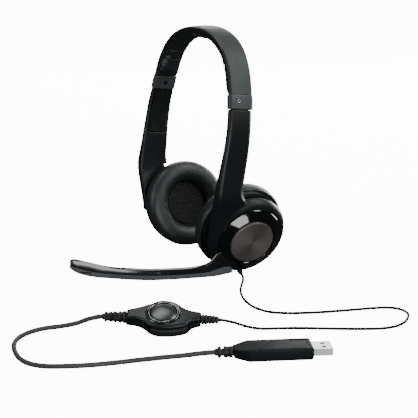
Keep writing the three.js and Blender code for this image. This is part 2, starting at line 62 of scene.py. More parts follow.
ARCH_SIDE = [
    (0.1, 14.7, 175.4), (0.7, 28.8, 170.9), (1.6, 40.1, 163.1), (3.0, 48.6, 151.5),
    (4.4, 53.7, 138.3), (6.1, 56.9, 125.9), (7.9, 59.1, 114.3), (9.5, 60.0, 103.9),
    (11.2, 60.1, 93.1), (12.9, 59.4, 82.3), (14.9, 58.6, 70.5), (16.6, 57.4, 60),
    (17.8, 55.1, 52), (18.6, 52.5, 45), (18.6, 48.0, 30),
]
ARCH_CROWN = (0, 0, 176.6)

THIN_CORD = 1.9
THIN_ROUTE = [
    (3.1, 53.9, 1.75), (5.6, 59.5, 1.15), (9, 64.5, 1.0), (14.5, 71, 1.0), (21, 79.5, 1.0),
    (27.3, 91, 1.0), (31, 103, 1.0), (31.6, 114, 1.0), (28.4, 124, 1.0), (21.6, 131.2, 1.0),
    (12, 137.2, 1.0), (-2, 143.8, 1.0), (-20, 150.6, 1.0), (-36, 156.4, 1.0), (-44.8, 161, 1.0),
    (-49.4, 167.4, 1.0), (-48.8, 175, 1.0), (-43.2, 181.6, 1.0), (-35.4, 186.4, 1.0),
    (-26.8, 188.4, 1.0), (-17.4, 186.8, 1.0), (-4, 179.6, 1.0), (11, 169.6, 1.0),
    (27, 158.6, 1.0), (40, 151, 1.0), (50, 147, 1.6), (59, 143.8, 3.9), (66.6, 140.2, 7.1),
    (73.6, 135.6, 8.7),
]
THICK_CORD = 3.2
THICK_ROUTE = [
    (134.9, 90.2, 8.7), (141.4, 85.4, 6.8), (148.4, 80.6, 3.6), (156.6, 76.2, 1.9),
    (166.4, 73.4, 1.65), (176.4, 73.8, 1.65), (185.4, 77.6, 1.65), (191.8, 84, 1.65),
    (195.6, 91.6, 1.65), (198, 101, 1.65), (198.8, 110.4, 1.65), (196.6, 119.4, 1.65),
    (190.6, 127, 1.65), (180.6, 133.4, 1.65), (167.6, 139.6, 1.65), (153.4, 144.6, 1.65),
    (139.4, 148.6, 1.65), (126.4, 152.6, 1.65), (114.6, 158, 2.2), (106.2, 163.2, 3.5),
    (98.5, 167.45, 4.1),
]

# ---- where each group of pieces stands: millimetres in, metres in the row frame out ----
MILLIMETRE = 0.001
ROW = Matrix.Scale(MILLIMETRE, 4) @ Matrix.Translation((-BOX_MIDDLE, 0, 0))
MIRROR = Matrix.Diagonal((1, -1, 1, 1))


def cup_frame():
    inward = -CUP_OUTWARD
    upright = (Vector((0, 0, 1)) - inward * inward.z).normalized()
    forward = upright.cross(inward)
    turned_to = Matrix((forward, upright, inward)).transposed().to_4x4()
    return Matrix.Translation(CUP_CENTRE) @ turned_to


SIDE = {"left": ROW, "right": ROW @ MIRROR}
DISH = {side: SIDE[side] @ cup_frame() for side in SIDE}
PIVOT = Matrix.Translation((0, 0, PIVOT_DEPTH))
SWIVEL = PIVOT @ Matrix.Rotation(math.radians(RIGHT_SWIVEL), 4, "Y") @ PIVOT.inverted()
CUP = {"left": DISH["left"], "right": DISH["right"] @ SWIVEL}
REMOTE_TURN, REMOTE_ROLL, PLUG_TURN = (math.radians(a) for a in (143.45, 20, 153.26))
REMOTE = (ROW @ Matrix.Translation((102.8, 113.9, 8.7))
          @ Matrix.Rotation(REMOTE_TURN, 4, "Z") @ Matrix.Rotation(REMOTE_ROLL, 4, "X"))
PLUG = ROW @ Matrix.Translation((98.2, 167.6, 4.1)) @ Matrix.Rotation(PLUG_TURN, 4, "Z")


# ---- camera ----------------------------------------------------------------------------
CAMERA_PLACE = Vector((0.3692, 0.6657, 0.2625))
CAMERA_AIM = Vector((-0.0383, 0.0135, 0.042))
CAMERA_LENS = 91.6


def set_camera():
    data = bpy.data.cameras.new("camera")
    data.lens = CAMERA_LENS
    data.sensor_width = 36
    data.clip_start = 0.02
    data.clip_end = 40
    camera = bpy.data.objects.new("camera", data)
    camera.location = CAMERA_PLACE
    camera.rotation_euler = (CAMERA_AIM - CAMERA_PLACE).to_track_quat("-Z", "Y").to_euler()
    SCENE.collection.objects.link(camera)
    SCENE.camera = camera


set_camera()


# ---- lines and profiles ----------------------------------------------------------------
def smooth_line(points, per_span=12):
    """Points along the centripetal curve through the given ones, as rows of an array."""
    p = np.array(points, float)
    p = np.vstack([2 * p[0] - p[1], p, 2 * p[-1] - p[-2]])
    step = np.sqrt(np.linalg.norm(np.diff(p, axis=0), axis=1))
    line = []
    for i in range(1, len(p) - 2):
        before, across, after = step[i - 1], step[i], step[i + 1]
        leave = ((p[i] - p[i - 1]) / before - (p[i + 1] - p[i - 1]) / (before + across)
                 + (p[i + 1] - p[i]) / across) * across
        arrive = ((p[i + 1] - p[i]) / across - (p[i + 2] - p[i]) / (across + after)
                  + (p[i + 2] - p[i + 1]) / after) * across
        t = (np.arange(per_span) / per_span)[:, None]
        line.append(p[i] + leave * t
                    + (3 * (p[i + 1] - p[i]) - 2 * leave - arrive) * t ** 2
                    + (2 * (p[i] - p[i + 1]) + leave + arrive) * t ** 3)
    return np.vstack([*line, p[-2][None]])


def smooth_outline(points, per_span=5):
    """The same through a closed outline."""
    wrapped = [*points[-3:], *points, *points[:3]]
    line = smooth_line(wrapped, per_span)
    return [tuple(p) for p in line[3 * per_span:(3 + len(points)) * per_span]]


def rounded(corners, steps=4, closed=True):
    """The outline of corners (x, y, radius), each turned into an arc."""
    outline = []
    for i, (x, y, radius) in enumerate(corners):
        corner = Vector((x, y))
        if not radius or (not closed and i in (0, len(corners) - 1)):
            outline.append(tuple(corner))
            continue
        before = (Vector(corners[i - 1][:2]) - corner).normalized()
        after = (Vector(corners[(i + 1) % len(corners)][:2]) - corner).normalized()
        half = before.angle(after) / 2
        if half > 1.56:
            outline.append(tuple(corner))
            continue
        centre = corner + (before + after).normalized() * radius / math.sin(half)
        start = corner + before * radius / math.tan(half) - centre
        end = corner + after * radius / math.tan(half) - centre
        for k in range(steps + 1):
            share = k / steps
            outline.append(tuple(centre + ((1 - share) * start + share * end).normalized() * radius))
    return outline


# ---- the arch that the headband and the arms follow ------------------------------------
def arch_table():
    right = [(x, -y, z) for x, y, z in ARCH_SIDE]
    line = smooth_line([*reversed(ARCH_SIDE), ARCH_CROWN, *right], 120)
    along = np.concatenate([[0], np.cumsum(np.linalg.norm(np.diff(line, axis=0), axis=1))])
    return line, along / along[-1]


ARCH_LINE, ARCH_AT = arch_table()


def arch_point(t):
    return Vector([float(np.interp(t, ARCH_AT, ARCH_LINE[:, k])) for k in range(3)])


def arch_frame(t):
    """The place and the across, outward and along directions at t, from 0 to 1."""
    along = (arch_point(min(1, t + 0.002)) - arch_point(max(0, t - 0.002))).normalized()
    across = (Vector((1, 0, 0)) - along * along.x).normalized()
    return arch_point(t), across, along.cross(across), along


def left_at(height):
    """The share of the arch at which its left half reaches a height."""
    middle = int(np.searchsorted(ARCH_AT, 0.5))
    return float(np.interp(height, ARCH_LINE[:middle, 2], ARCH_AT[:middle]))


def arch_rings(start, end, steps, section):
    """Rings of points along the arch; section(t, height) gives [across, outward] points."""
    rings = []
    for i in range(steps + 1):
        t = start + (end - start) * i / steps
        point, across, outward, _ = arch_frame(t)
        rings.append([point + across * a + outward * b for a, b in section(t, point.z)])
    return rings


# ---- mesh tools ------------------------------------------------------------------------
def extruded(rings):
    """Draws the first ring, extrudes it from ring to ring and closes both ends."""
    bm = bmesh.new()
    row = [bm.verts.new(p) for p in rings[0]]
    loop = [bm.edges.new(pair) for pair in zip(row, row[1:] + row[:1])]
    first = loop
    for ring in rings[1:]:
        grown = bmesh.ops.extrude_edge_only(bm, edges=loop)["geom"]
        fresh = {v for v in grown if isinstance(v, bmesh.types.BMVert)}
        row = [next(e.other_vert(v) for e in v.link_edges if e.other_vert(v) in fresh) for v in row]
        loop = [bm.edges.get(pair) for pair in zip(row, row[1:] + row[:1])]
        for vertex, point in zip(row, ring):
            vertex.co = point
    bmesh.ops.contextual_create(bm, geom=first)
    bmesh.ops.contextual_create(bm, geom=loop)
    bmesh.ops.recalc_face_normals(bm, faces=bm.faces)
    return bm


def turned(profile, steps=96, closed=False):
    """Spins [radius, depth] points about Z."""
    bm = bmesh.new()
    row = [bm.verts.new((radius, 0, depth)) for radius, depth in profile]
    pairs = list(zip(row, row[1:] + row[:1] if closed else row[1:]))
    edges = [bm.edges.new(pair) for pair in pairs]
    bmesh.ops.spin(bm, geom=row + edges, cent=(0, 0, 0), axis=(0, 0, 1),
                   angle=2 * math.pi, steps=steps, use_merge=True)
    bmesh.ops.remove_doubles(bm, verts=bm.verts, dist=1e-4)
    bmesh.ops.recalc_face_normals(bm, faces=bm.faces)
    return bm


def lathed(corners, steps=96, arc=4, closed=False):
    """Spins (radius, depth, rounding) corners about Z."""
    return turned(rounded(corners, arc, closed), steps, closed)


def bead(radius, depth, thickness, steps=120, points=10):
    """A ring of round section about Z."""
    angles = np.linspace(0, 2 * math.pi, points, endpoint=False)
    return turned([(radius + thickness * math.cos(a), depth + thickness * math.sin(a)) for a in angles],
                  steps, closed=True)


def flat_plug(radius, low, high, steps=64):
    """A plain cylinder on Z, as a cutting tool or a core."""
    return turned([(0, low), (radius, low), (radius, high), (0, high)], steps)


def block(x0, x1, y0, y1, z0, z1, bevel=0, segments=3):
    bm = bmesh.new()
    bmesh.ops.create_cube(bm, size=1)
    bmesh.ops.scale(bm, vec=(x1 - x0, y1 - y0, z1 - z0), verts=bm.verts)
    bmesh.ops.translate(bm, vec=((x0 + x1) / 2, (y0 + y1) / 2, (z0 + z1) / 2), verts=bm.verts)
    if bevel:
        bmesh.ops.bevel(bm, geom=bm.edges, offset=bevel, segments=segments, profile=0.5,
                        affect="EDGES", material=-1)
    return bm


def slab(outline, low, high, bevel_low=0, bevel_high=0, segments=5):
    """An outline raised from low to high, with rounded rims."""
    bm = bmesh.new()
    face = bm.faces.new([bm.verts.new((x, y, low)) for x, y in outline])
    grown = bmesh.ops.extrude_face_region(bm, geom=[face])["geom"]
    tops = [v for v in grown if isinstance(v, bmesh.types.BMVert)]
    bmesh.ops.translate(bm, vec=(0, 0, high - low), verts=tops)
    bmesh.ops.recalc_face_normals(bm, faces=bm.faces)
    for level, width in ((low, bevel_low), (high, bevel_high)):
        if width:
            rim = [e for e in bm.edges if all(abs(v.co.z - level) < 1e-5 for v in e.verts)]
            bmesh.ops.bevel(bm, geom=rim, offset=width, segments=segments, profile=0.5,
                            affect="EDGES", material=-1)
    return bm


def placed(bm, matrix):
    bmesh.ops.transform(bm, matrix=matrix, verts=bm.verts)
    return bm


def as_object(bm, name="working"):
    mesh = bpy.data.meshes.new(name)
    bm.to_mesh(mesh)
    bm.free()
    obj = bpy.data.objects.new(name, mesh)
    SCENE.collection.objects.link(obj)
    return obj


def discard(obj):
    mesh = obj.data
    bpy.data.objects.remove(obj)
    bpy.data.meshes.remove(mesh)


def with_modifier(bm, kind, **settings):
    """The shape after one modifier, as a new bmesh."""
    obj = as_object(bm)
    modifier = obj.modifiers.new("step", kind)
    for name, value in settings.items():
        setattr(modifier, name, value)
    shaped = obj.evaluated_get(bpy.context.evaluated_depsgraph_get())
    result = bmesh.new()
    result.from_mesh(shaped.to_mesh())
    shaped.to_mesh_clear()
    discard(obj)
    return result


def combined(bm, operation, *tools):
    for tool in tools:
        other = as_object(tool, "tool")
        bm = with_modifier(bm, "BOOLEAN", operation=operation, object=other, solver="EXACT")
        discard(other)
    return bm


def carved(bm, *tools):
    return combined(bm, "DIFFERENCE", *tools)


def fused(bm, *tools):
    return combined(bm, "UNION", *tools)


def gathered(*shells):
    """Several closed shells in one bmesh."""
    bm = bmesh.new()
    for shell in shells:
        mesh = bpy.data.meshes.new("shell")
        shell.to_mesh(mesh)
        shell.free()
        bm.from_mesh(mesh)
        bpy.data.meshes.remove(mesh)
    return bm


def remoulded(shells, voxel, smoothing=6):
    """One even skin round closed shells, with corners and joins softened as a moulding's are."""
    bm = with_modifier(gathered(*shells), "REMESH", mode="VOXEL", voxel_size=voxel)
    for _ in range(smoothing):
        bmesh.ops.smooth_vert(bm, verts=bm.verts, factor=0.5, use_axis_x=True,
                              use_axis_y=True, use_axis_z=True)
    return bm


def piece(name, bm, place, finish, body, stands_for=(), crease=32):
    """Puts a shape in its place as a finished piece that rides on a body."""
    placed(bm, place)
    bmesh.ops.remove_doubles(bm, verts=bm.verts, dist=1e-7)
    bmesh.ops.recalc_face_normals(bm, faces=bm.faces)
    obj = as_object(bm, name)
    obj.data.shade_smooth()
    obj.data.set_sharp_from_angle(angle=math.radians(crease))
    obj.data.materials.append(finish)
    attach(obj, body)
    if stands_for:
        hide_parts(*stands_for)
    return obj


# ---- node tools ------------------------------------------------------------------------
def add(tree, kind, inputs=None, **settings):
    """A node with its properties set, and its inputs given a value or joined to a socket."""
    node = tree.nodes.new(kind)
    for name, value in settings.items():
        setattr(node, name, value)
    for key, value in (inputs or {}).items():
        socket = node.inputs[key]
        if isinstance(value, bpy.types.NodeSocket):
            tree.links.new(value, socket)
        else:
            socket.default_value = value
    return node


def maths(tree, operation, a, b=0.0, c=0.0, clamp=False):
    inputs = {0: a, 1: b, 2: c} if operation in ("MULTIPLY_ADD", "SMOOTH_MIN") else {0: a, 1: b}
    return add(tree, "ShaderNodeMath", inputs, operation=operation, use_clamp=clamp).outputs[0]


def spread(tree, value, low, high, to_low=0.0, to_high=1.0):
    return add(tree, "ShaderNodeMapRange",
               {"Value": value, "From Min": low, "From Max": high, "To Min": to_low, "To Max": to_high},
               clamp=True).outputs[0]


def mixed(tree, share, a, b):
    """A colour between a and b."""
    node = add(tree, "ShaderNodeMix", {0: share}, data_type="RGBA")
    for socket, value in ((node.inputs[6], a), (node.inputs[7], b)):
        if isinstance(value, bpy.types.NodeSocket):
            tree.links.new(value, socket)
        else:
            socket.default_value = value
    return node.outputs[2]


def effect(name, inputs, outputs, build):
    """A node group: build(tree, inputs) returns the sockets for its outputs."""
    tree = bpy.data.node_groups.new(name, "ShaderNodeTree")
    for label, value in inputs.items():
        kind = "NodeSocketVector" if value is None else "NodeSocketFloat"
        socket = tree.interface.new_socket(label, in_out="INPUT", socket_type=kind)
        if value is not None:
            socket.default_value = value
    for label in outputs:
        tree.interface.new_socket(label, in_out="OUTPUT", socket_type="NodeSocketFloat")
    start = tree.nodes.new("NodeGroupInput")
    end = tree.nodes.new("NodeGroupOutput")
    for socket, result in zip(end.inputs, build(tree, start.outputs)):
        tree.links.new(result, socket)
    return tree


def moulded_grain(tree, given):
    """Fine spark-eroded plastic grain, with slow drifts in tone."""
    fine = add(tree, "ShaderNodeTexNoise", {"Vector": given["Where"], "Scale": given["Size"],
               "Detail": 3.0, "Roughness": 0.6}).outputs["Fac"]
    pits = add(tree, "ShaderNodeTexVoronoi", {"Vector": given["Where"], "Scale": given["Size"]},
               feature="SMOOTH_F1").outputs["Distance"]
    slow = add(tree, "ShaderNodeTexNoise", {"Vector": given["Where"], "Scale": 28.0,
               "Detail": 4.0}).outputs["Fac"]
    height = maths(tree, "MULTIPLY_ADD", pits, 0.6, fine)
    return [height, spread(tree, slow, 0.32, 0.68)]


def leather_grain(tree, given):
    """Pebbled cells between creases, crossed by finer pores and long faint folds."""
    bent = add(tree, "ShaderNodeTexNoise", {"Vector": given["Where"], "Scale": 420.0,
               "Detail": 2.0}).outputs["Color"]
    pull = add(tree, "ShaderNodeVectorMath", {0: bent, "Scale": 0.0006}, operation="SCALE").outputs[0]
    where = add(tree, "ShaderNodeVectorMath", {0: given["Where"], 1: pull}, operation="ADD").outputs[0]
    cells = add(tree, "ShaderNodeTexVoronoi", {"Vector": where, "Scale": given["Size"]},
                feature="DISTANCE_TO_EDGE").outputs["Distance"]
    pebble = spread(tree, cells, 0.0, 0.22)
    pores = add(tree, "ShaderNodeTexNoise", {"Vector": where, "Scale": 3600.0,
                "Detail": 2.0}).outputs["Fac"]
    folds = add(tree, "ShaderNodeTexNoise", {"Vector": given["Where"], "Scale": 90.0,
                "Detail": 5.0, "Distortion": 1.2}).outputs["Fac"]
    height = maths(tree, "MULTIPLY_ADD", pores, 0.35, maths(tree, "MULTIPLY_ADD", folds, 1.2, pebble))
    return [height, maths(tree, "MULTIPLY", pebble, spread(tree, folds, 0.25, 0.75, 0.6, 1.0))]


def edge_rub(tree, given):
    """Where handling has rubbed the edges, broken up by noise."""
    bend = add(tree, "ShaderNodeNewGeometry").outputs["Pointiness"]
    edge = spread(tree, bend, 0.515, 0.60)
    patches = add(tree, "ShaderNodeTexNoise", {"Vector": given["Where"], "Scale": 260.0,
                  "Detail": 5.0, "Roughness": 0.7}).outputs["Fac"]
    broken = maths(tree, "MULTIPLY", edge, spread(tree, patches, 0.42, 0.62))
    return [maths(tree, "MULTIPLY", broken, given["Amount"], clamp=True)]


def settled_dust(tree, given):
    """A trace of dust on what faces up."""
    facing = add(tree, "ShaderNodeSeparateXYZ",
                 {0: add(tree, "ShaderNodeNewGeometry").outputs["Normal"]}).outputs["Z"]
    flecks = add(tree, "ShaderNodeTexNoise", {"Vector": given["Where"], "Scale": 700.0,
                 "Detail": 4.0, "Roughness": 0.75}).outputs["Fac"]
    film = maths(tree, "MULTIPLY", spread(tree, facing, 0.1, 1.0), spread(tree, flecks, 0.5, 0.8))
    return [maths(tree, "MULTIPLY", film, given["Amount"], clamp=True)]


def handling_marks(tree, given):
    """Hairline scratches and smudges, for roughness."""
    long_way = add(tree, "ShaderNodeMapping", {"Vector": given["Where"], "Rotation": (0.4, 0.7, 0.3),
                   "Scale": (1.0, 14.0, 1.0)}).outputs[0]
    hairs = add(tree, "ShaderNodeTexNoise", {"Vector": long_way, "Scale": 220.0, "Detail": 6.0,
                "Roughness": 0.8}).outputs["Fac"]
    smudge = add(tree, "ShaderNodeTexNoise", {"Vector": given["Where"], "Scale": 60.0,
                 "Detail": 3.0, "Distortion": 0.8}).outputs["Fac"]
    return [maths(tree, "MULTIPLY_ADD", spread(tree, hairs, 0.6, 0.72), 0.5,
                  spread(tree, smudge, 0.4, 0.7, 0.0, 0.6))]


def speaker_weave(tree, given):
    """Open knitted cloth: threads crossing both ways, with flecks."""
    parts = add(tree, "ShaderNodeSeparateXYZ", {0: given["Where"]}).outputs
    rows = []
    for axis in ("X", "Y"):
        wave = maths(tree, "SINE", maths(tree, "MULTIPLY", parts[axis], given["Size"]))
        rows.append(maths(tree, "ABSOLUTE", wave))
    weave = maths(tree, "MAXIMUM", rows[0], rows[1])
    flecks = add(tree, "ShaderNodeTexVoronoi", {"Vector": given["Where"], "Scale": 900.0},
                 feature="F1").outputs["Distance"]
    return [weave, spread(tree, maths(tree, "MULTIPLY", flecks, weave), 0.18, 0.7)]


def lathe_rings_and_painted_sheen(tree, given):
    """Fine rings about the piece's own axis, as a turning tool or a brush leaves them, and a painted sheen
    in two lobes.
    """
    parts = add(tree, "ShaderNodeSeparateXYZ", {0: given["Where"]}).outputs
    radius = maths(tree, "SQRT", maths(tree, "ADD", maths(tree, "MULTIPLY", parts["X"], parts["X"]),
                                       maths(tree, "MULTIPLY", parts["Y"], parts["Y"])))
    angle = maths(tree, "ARCTAN2", parts["Y"], parts["X"])
    track = add(tree, "ShaderNodeCombineXYZ",
                {"X": maths(tree, "MULTIPLY", radius, 3400.0),
                 "Y": maths(tree, "MULTIPLY", maths(tree, "SINE", angle), 1.6),
                 "Z": maths(tree, "MULTIPLY", maths(tree, "COSINE", angle), 1.6)}).outputs[0]
    rings = add(tree, "ShaderNodeTexNoise", {"Vector": track, "Scale": 1.0, "Detail": 5.0,
                "Roughness": 0.7}).outputs["Fac"]
    # painted sheen: the two lighter lobes about the axis below stand in for brushed metal's highlight
    turn = maths(tree, "MULTIPLY_ADD", angle, 2.0, -0.9)
    painted_sheen_fan = maths(tree, "MULTIPLY_ADD", maths(tree, "COSINE", turn), 0.5, 0.5)
    return [rings, maths(tree, "MULTIPLY_ADD", painted_sheen_fan, 0.6, maths(tree, "MULTIPLY", rings, 0.5))]


GRAINS_AND_SHEEN = [  # builder, and the size of its pattern
    (moulded_grain, 4200.0), (leather_grain, 1500.0), (speaker_weave, 5200.0), (lathe_rings_and_painted_sheen, 1.0)]
MASKS = [(edge_rub, {"Amount": 0.5}), (settled_dust, {"Amount": 0.2}), (handling_marks, {})]
EFFECTS = {
    build.__name__: effect(build.__name__, {"Where": None, "Size": size}, ["Height", "Tone"], build)
    for build, size in GRAINS_AND_SHEEN}
EFFECTS.update({
    build.__name__: effect(build.__name__, {"Where": None, **inputs}, ["Mask"], build)
    for build, inputs in MASKS})


def srgb(code):
    """A linear colour from a hex code."""
    parts = [int(code[i:i + 2], 16) / 255 for i in (0, 2, 4)]
    return (*[p / 12.92 if p <= 0.04045 else ((p + 0.055) / 1.055) ** 2.4 for p in parts], 1.0)


def make_finish(name, dark, light, rough, grain="moulded_grain", size=4200.0, relief=0.1,
                depth=0.00004, rub=0.3, worn="4a4f50", dust=0.10, marks=0.06, centre=None, **plain):
    """A material: two tones and two roughnesses of one surface, its grain, wear and dust; on the badge discs
    the tone also carries a painted sheen.
    """
    material = bpy.data.materials.new(name)
    material.use_nodes = True
    tree = material.node_tree
    shader = tree.nodes["Principled BSDF"]
    for label, value in plain.items():
        shader.inputs[label.replace("_", " ")].default_value = value
    where = tree.nodes.new("ShaderNodeTexCoord").outputs["Object"]
    if centre is not None:
        where = add(tree, "ShaderNodeMapping", {"Vector": where, "Location": centre.to_translation(),
                    "Rotation": centre.to_3x3().normalized().to_euler()}, vector_type="TEXTURE").outputs[0]

    def placed_effect(kind, **values):
        node = add(tree, "ShaderNodeGroup", node_tree=EFFECTS[kind])
        tree.links.new(where, node.inputs["Where"])
        for label, value in values.items():
            node.inputs[label].default_value = value
        return node.outputs

    surface = placed_effect(grain, Size=size)
    rubbed = placed_effect("edge_rub", Amount=rub)["Mask"]
    dusty = placed_effect("settled_dust", Amount=dust)["Mask"]
    marked = placed_effect("handling_marks")["Mask"]
    # the tone mix: grain, and on the badge discs a painted sheen as well
    colour = mixed(tree, surface["Tone"], srgb(dark), srgb(light))
    colour = mixed(tree, rubbed, colour, srgb(worn))
    colour = mixed(tree, dusty, colour, srgb("8c8a84"))
    tree.links.new(colour, shader.inputs["Base Color"])
    base = spread(tree, surface["Tone"], 0.0, 1.0, rough[1], rough[0])
    base = maths(tree, "MULTIPLY_ADD", marked, marks, base)
    base = maths(tree, "MULTIPLY_ADD", dusty, 0.5, base, clamp=True)
    tree.links.new(base, shader.inputs["Roughness"])
    bump = add(tree, "ShaderNodeBump", {"Height": surface["Height"], "Strength": relief, "Distance": depth})
    tree.links.new(bump.outputs[0], shader.inputs["Normal"])
    return material


FINISH = {
    "charcoal": make_finish("charcoal_soft_touch", "343a39", "3d4342", (0.46, 0.56), size=3200.0,
                            relief=0.35, rub=0.35, worn="6b7070", dust=0.06, Specular_IOR_Level=0.3),
    "rim": make_finish("black_rim", "0c0f10", "12171a", (0.34, 0.46), relief=0.15),
    "satin": make_finish("satin_black", "0b0f11", "12171a", (0.34, 0.44), size=5200.0, relief=0.12,
                         rub=0.25, worn="3a4042", dust=0.05, Specular_IOR_Level=0.3),
    "plug": make_finish("plug_black", "0b0f11", "12171a", (0.44, 0.54), size=5200.0, relief=0.14, rub=0.3,
                        worn="3a4042", dust=0.05, Specular_IOR_Level=0.12),
    # painted light: the boom's satin is a lighter grey than the arms' black satin, standing in for light its
    # lower side does not get
    "boom": make_finish("boom_satin", "484c50", "54585c", (0.34, 0.44), size=5200.0, relief=0.10, rub=0.25,
                        worn="565b5f", dust=0.05),
    "gloss": make_finish("gloss_black", "060708", "0a0c0d", (0.06, 0.10), relief=0.008, rub=0.05,
                         worn="2a2d2f", dust=0.0, marks=0.03, Coat_Weight=0.4, Coat_Roughness=0.03),
    "trim": make_finish("boom_trim_gloss", "101214", "15171a", (0.11, 0.15), relief=0.008, rub=0.05,
                        worn="6a6e72", dust=0.0, marks=0.03, Specular_IOR_Level=0.7),
    "cap": make_finish("cap_satin", "2a2f31", "33393b", (0.34, 0.44), relief=0.12, rub=0.4, worn="6b7070",
                       dust=0.0, Specular_IOR_Level=0.5),
    "button": make_finish("button_gloss", "1c1f21", "24282a", (0.26, 0.32), relief=0.01, rub=0.05,
                          worn="4a4e51", dust=0.0, marks=0.03, Specular_IOR_Level=0.7),
    "dark_steel": make_finish("blackened_steel", "15181a", "1f2325", (0.34, 0.46), size=2600.0, relief=0.08,
                              rub=0.2, worn="54585b", dust=0.0, Metallic=0.6),
    "usb": make_finish("plug_steel", "e6e9eb", "fafbfc", (0.26, 0.36), size=2600.0, relief=0.03, rub=0.0,
                       dust=0.0, marks=0.05, Metallic=0.55),
    "leatherette": make_finish("leatherette", "14191b", "1f2527", (0.30, 0.44), "leather_grain", 1500.0,
                               relief=0.32, depth=0.00012, rub=0.2, worn="34393b", dust=0.03,
                               Specular_IOR_Level=0.55),
    "cloth": make_finish("speaker_cloth", "030404", "1d2022", (0.85, 0.98), "speaker_weave", 5200.0,
                         relief=0.9, depth=0.0003, rub=0.0, dust=0.03),
    "foam": make_finish("black_foam", "040405", "181a1b", (0.9, 1.0), "leather_grain", 2600.0,
                        relief=0.9, depth=0.0003, rub=0.0, dust=0.03),
    "steel": make_finish("brushed_steel", "b4b8bb", "dde0e3", (0.20, 0.32), size=2600.0, relief=0.08,
                         rub=0.2, worn="dfe3e6", dust=0.06, Metallic=1.0),
    "bright": make_finish("bright_trim", "9a9ea2", "b8bcc0", (0.20, 0.26), size=3000.0, relief=0.005,
                          rub=0.0, dust=0.0, marks=0.02, Metallic=1.0),
    "dull": make_finish("dull_plastic", "1b1d1f", "26292b", (0.55, 0.7), relief=0.2),
    "board": make_finish("circuit_board", "12402a", "1e5a3c", (0.4, 0.55), size=2000.0, relief=0.1,
                         worn="b09050"),
    "film": make_finish("diaphragm_film", "6e5f3e", "8f8058", (0.3, 0.42), size=1200.0, relief=0.1,
                        worn="a89a70"),
    "rubber": make_finish("soft_rubber", "0e1011", "171a1b", (0.55, 0.68), size=3600.0, relief=0.2,
                          rub=0.3, worn="2e3233", dust=0.18),
    "cord_black": make_finish("thin_cord_sheath", "090a0b", "111314", (0.62, 0.72), size=3000.0,
                              relief=0.05, rub=0.0, dust=0.0, Specular_IOR_Level=0.15),
    "cord_grey": make_finish("thick_cord_sheath", "2c3031", "3a3e40", (0.56, 0.66), size=3000.0,
                             relief=0.05, rub=0.0, dust=0.0, Specular_IOR_Level=0.35),
}
for side in ("left", "right"):
    # painted sheen: the badge discs run from 3e3b39 to 7b7673, lighter in two lobes where a brushed
    # highlight would fall
    FINISH[f"{side}_disc"] = make_finish(
        f"{side}_disc_metal", "3e3b39", "7b7673", (0.36, 0.48), "lathe_rings_and_painted_sheen", 1.0, relief=0.12,
        depth=0.00003, rub=0.5, worn="8d8782", dust=0.04, marks=0.04, centre=DISH[side], Metallic=0.6)


# ---- cords -----------------------------------------------------------------------------
def lay_cord(name, route, diameter, finish, node):
    """A cord as one open line, in metres."""
    line = smooth_line([ROW @ Vector(p) for p in route], 8)
    data = bpy.data.curves.new(name, "CURVE")
    data.dimensions = "3D"
    data.bevel_depth = diameter / 2000
    data.bevel_resolution = 5
    data.use_fill_caps = True
    spline = data.splines.new("POLY")
    spline.points.add(len(line) - 1)
    for target, point in zip(spline.points, line):
        target.co = (*point, 1)
    spline.use_smooth = True
    obj = bpy.data.objects.new(name, data)
    SCENE.collection.objects.link(obj)
    data.materials.append(finish)
    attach(obj, "left_yoke")
    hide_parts(node)
    length = float(np.linalg.norm(np.diff(line, axis=0), axis=1).sum())
    return obj, length


def remote_along(x):
    """A place on the remote's long axis, in the millimetres of the routes."""
    return ROW.inverted() @ REMOTE @ Vector((x, 0, 0))


thin_cord, thin_length = lay_cord(
    "thin_cord_run", [(1.4, 49.5, 1.95), *THIN_ROUTE, remote_along(30)], THIN_CORD,
    FINISH["cord_black"], "thin_cord")
thick_cord, thick_length = lay_cord(
    "thick_cord_run", [remote_along(-33), *THICK_ROUTE, (94.2, 169.6, 4.1)], THICK_CORD,
    FINISH["cord_grey"], "thick_cord")


# ---- headband --------------------------------------------------------------------------
def band_shell(_t, _height):
    lip = BAND_HALF - 1.3
    return rounded([
        (-BAND_HALF, -3.9, 0.4), (-lip, -3.9, 0.3), (-lip, -1.5, 0.2), (lip, -1.5, 0.2),
        (lip, -3.9, 0.3), (BAND_HALF, -3.9, 0.4), (BAND_HALF, -0.7, 0.9), (BAND_HALF - 1.0, -0.05, 0.6),
        (0, 0.02, 0), (1.0 - BAND_HALF, -0.05, 0.6), (-BAND_HALF, -0.7, 0.9)])


def band_panel(t, _height):
    """The soft-touch strip along the top, let into the rim; its ends are cut square."""
    half = BAND_HALF - 1.25
    return rounded([(-half, -0.6, 0), (half, -0.6, 0), (half, 0.05, 0.25), (half * 0.5, 0.27, 0),
                    (0, 0.33, 0), (-half * 0.5, 0.27, 0), (-half, 0.05, 0.25)], 3)


def make_headband():
    start = left_at(CAP_TOP + GAP)
    shell = extruded(arch_rings(start, 1 - start, 180, band_shell))
    piece("headband_outer_shell_rim", shell, ROW, FINISH["rim"], "headband",
          ["headband_outer_shell"])
    panel = extruded(arch_rings(start + 0.0002, 1 - start - 0.0002, 180, band_panel))
    piece("headband_top_panel", panel, ROW, FINISH["charcoal"], "headband")


# ---- padded pieces ---------------------------------------------------------------------
COVER_CLOTH = {
    "quality": 7, "mass": 0.25, "tension_stiffness": 18, "compression_stiffness": 12, "shear_stiffness": 6,
    "bending_stiffness": 0.15, "air_damping": 2, "use_pressure": True, "vertex_group_mass": "held"}
SETTLING_FRAMES = 20


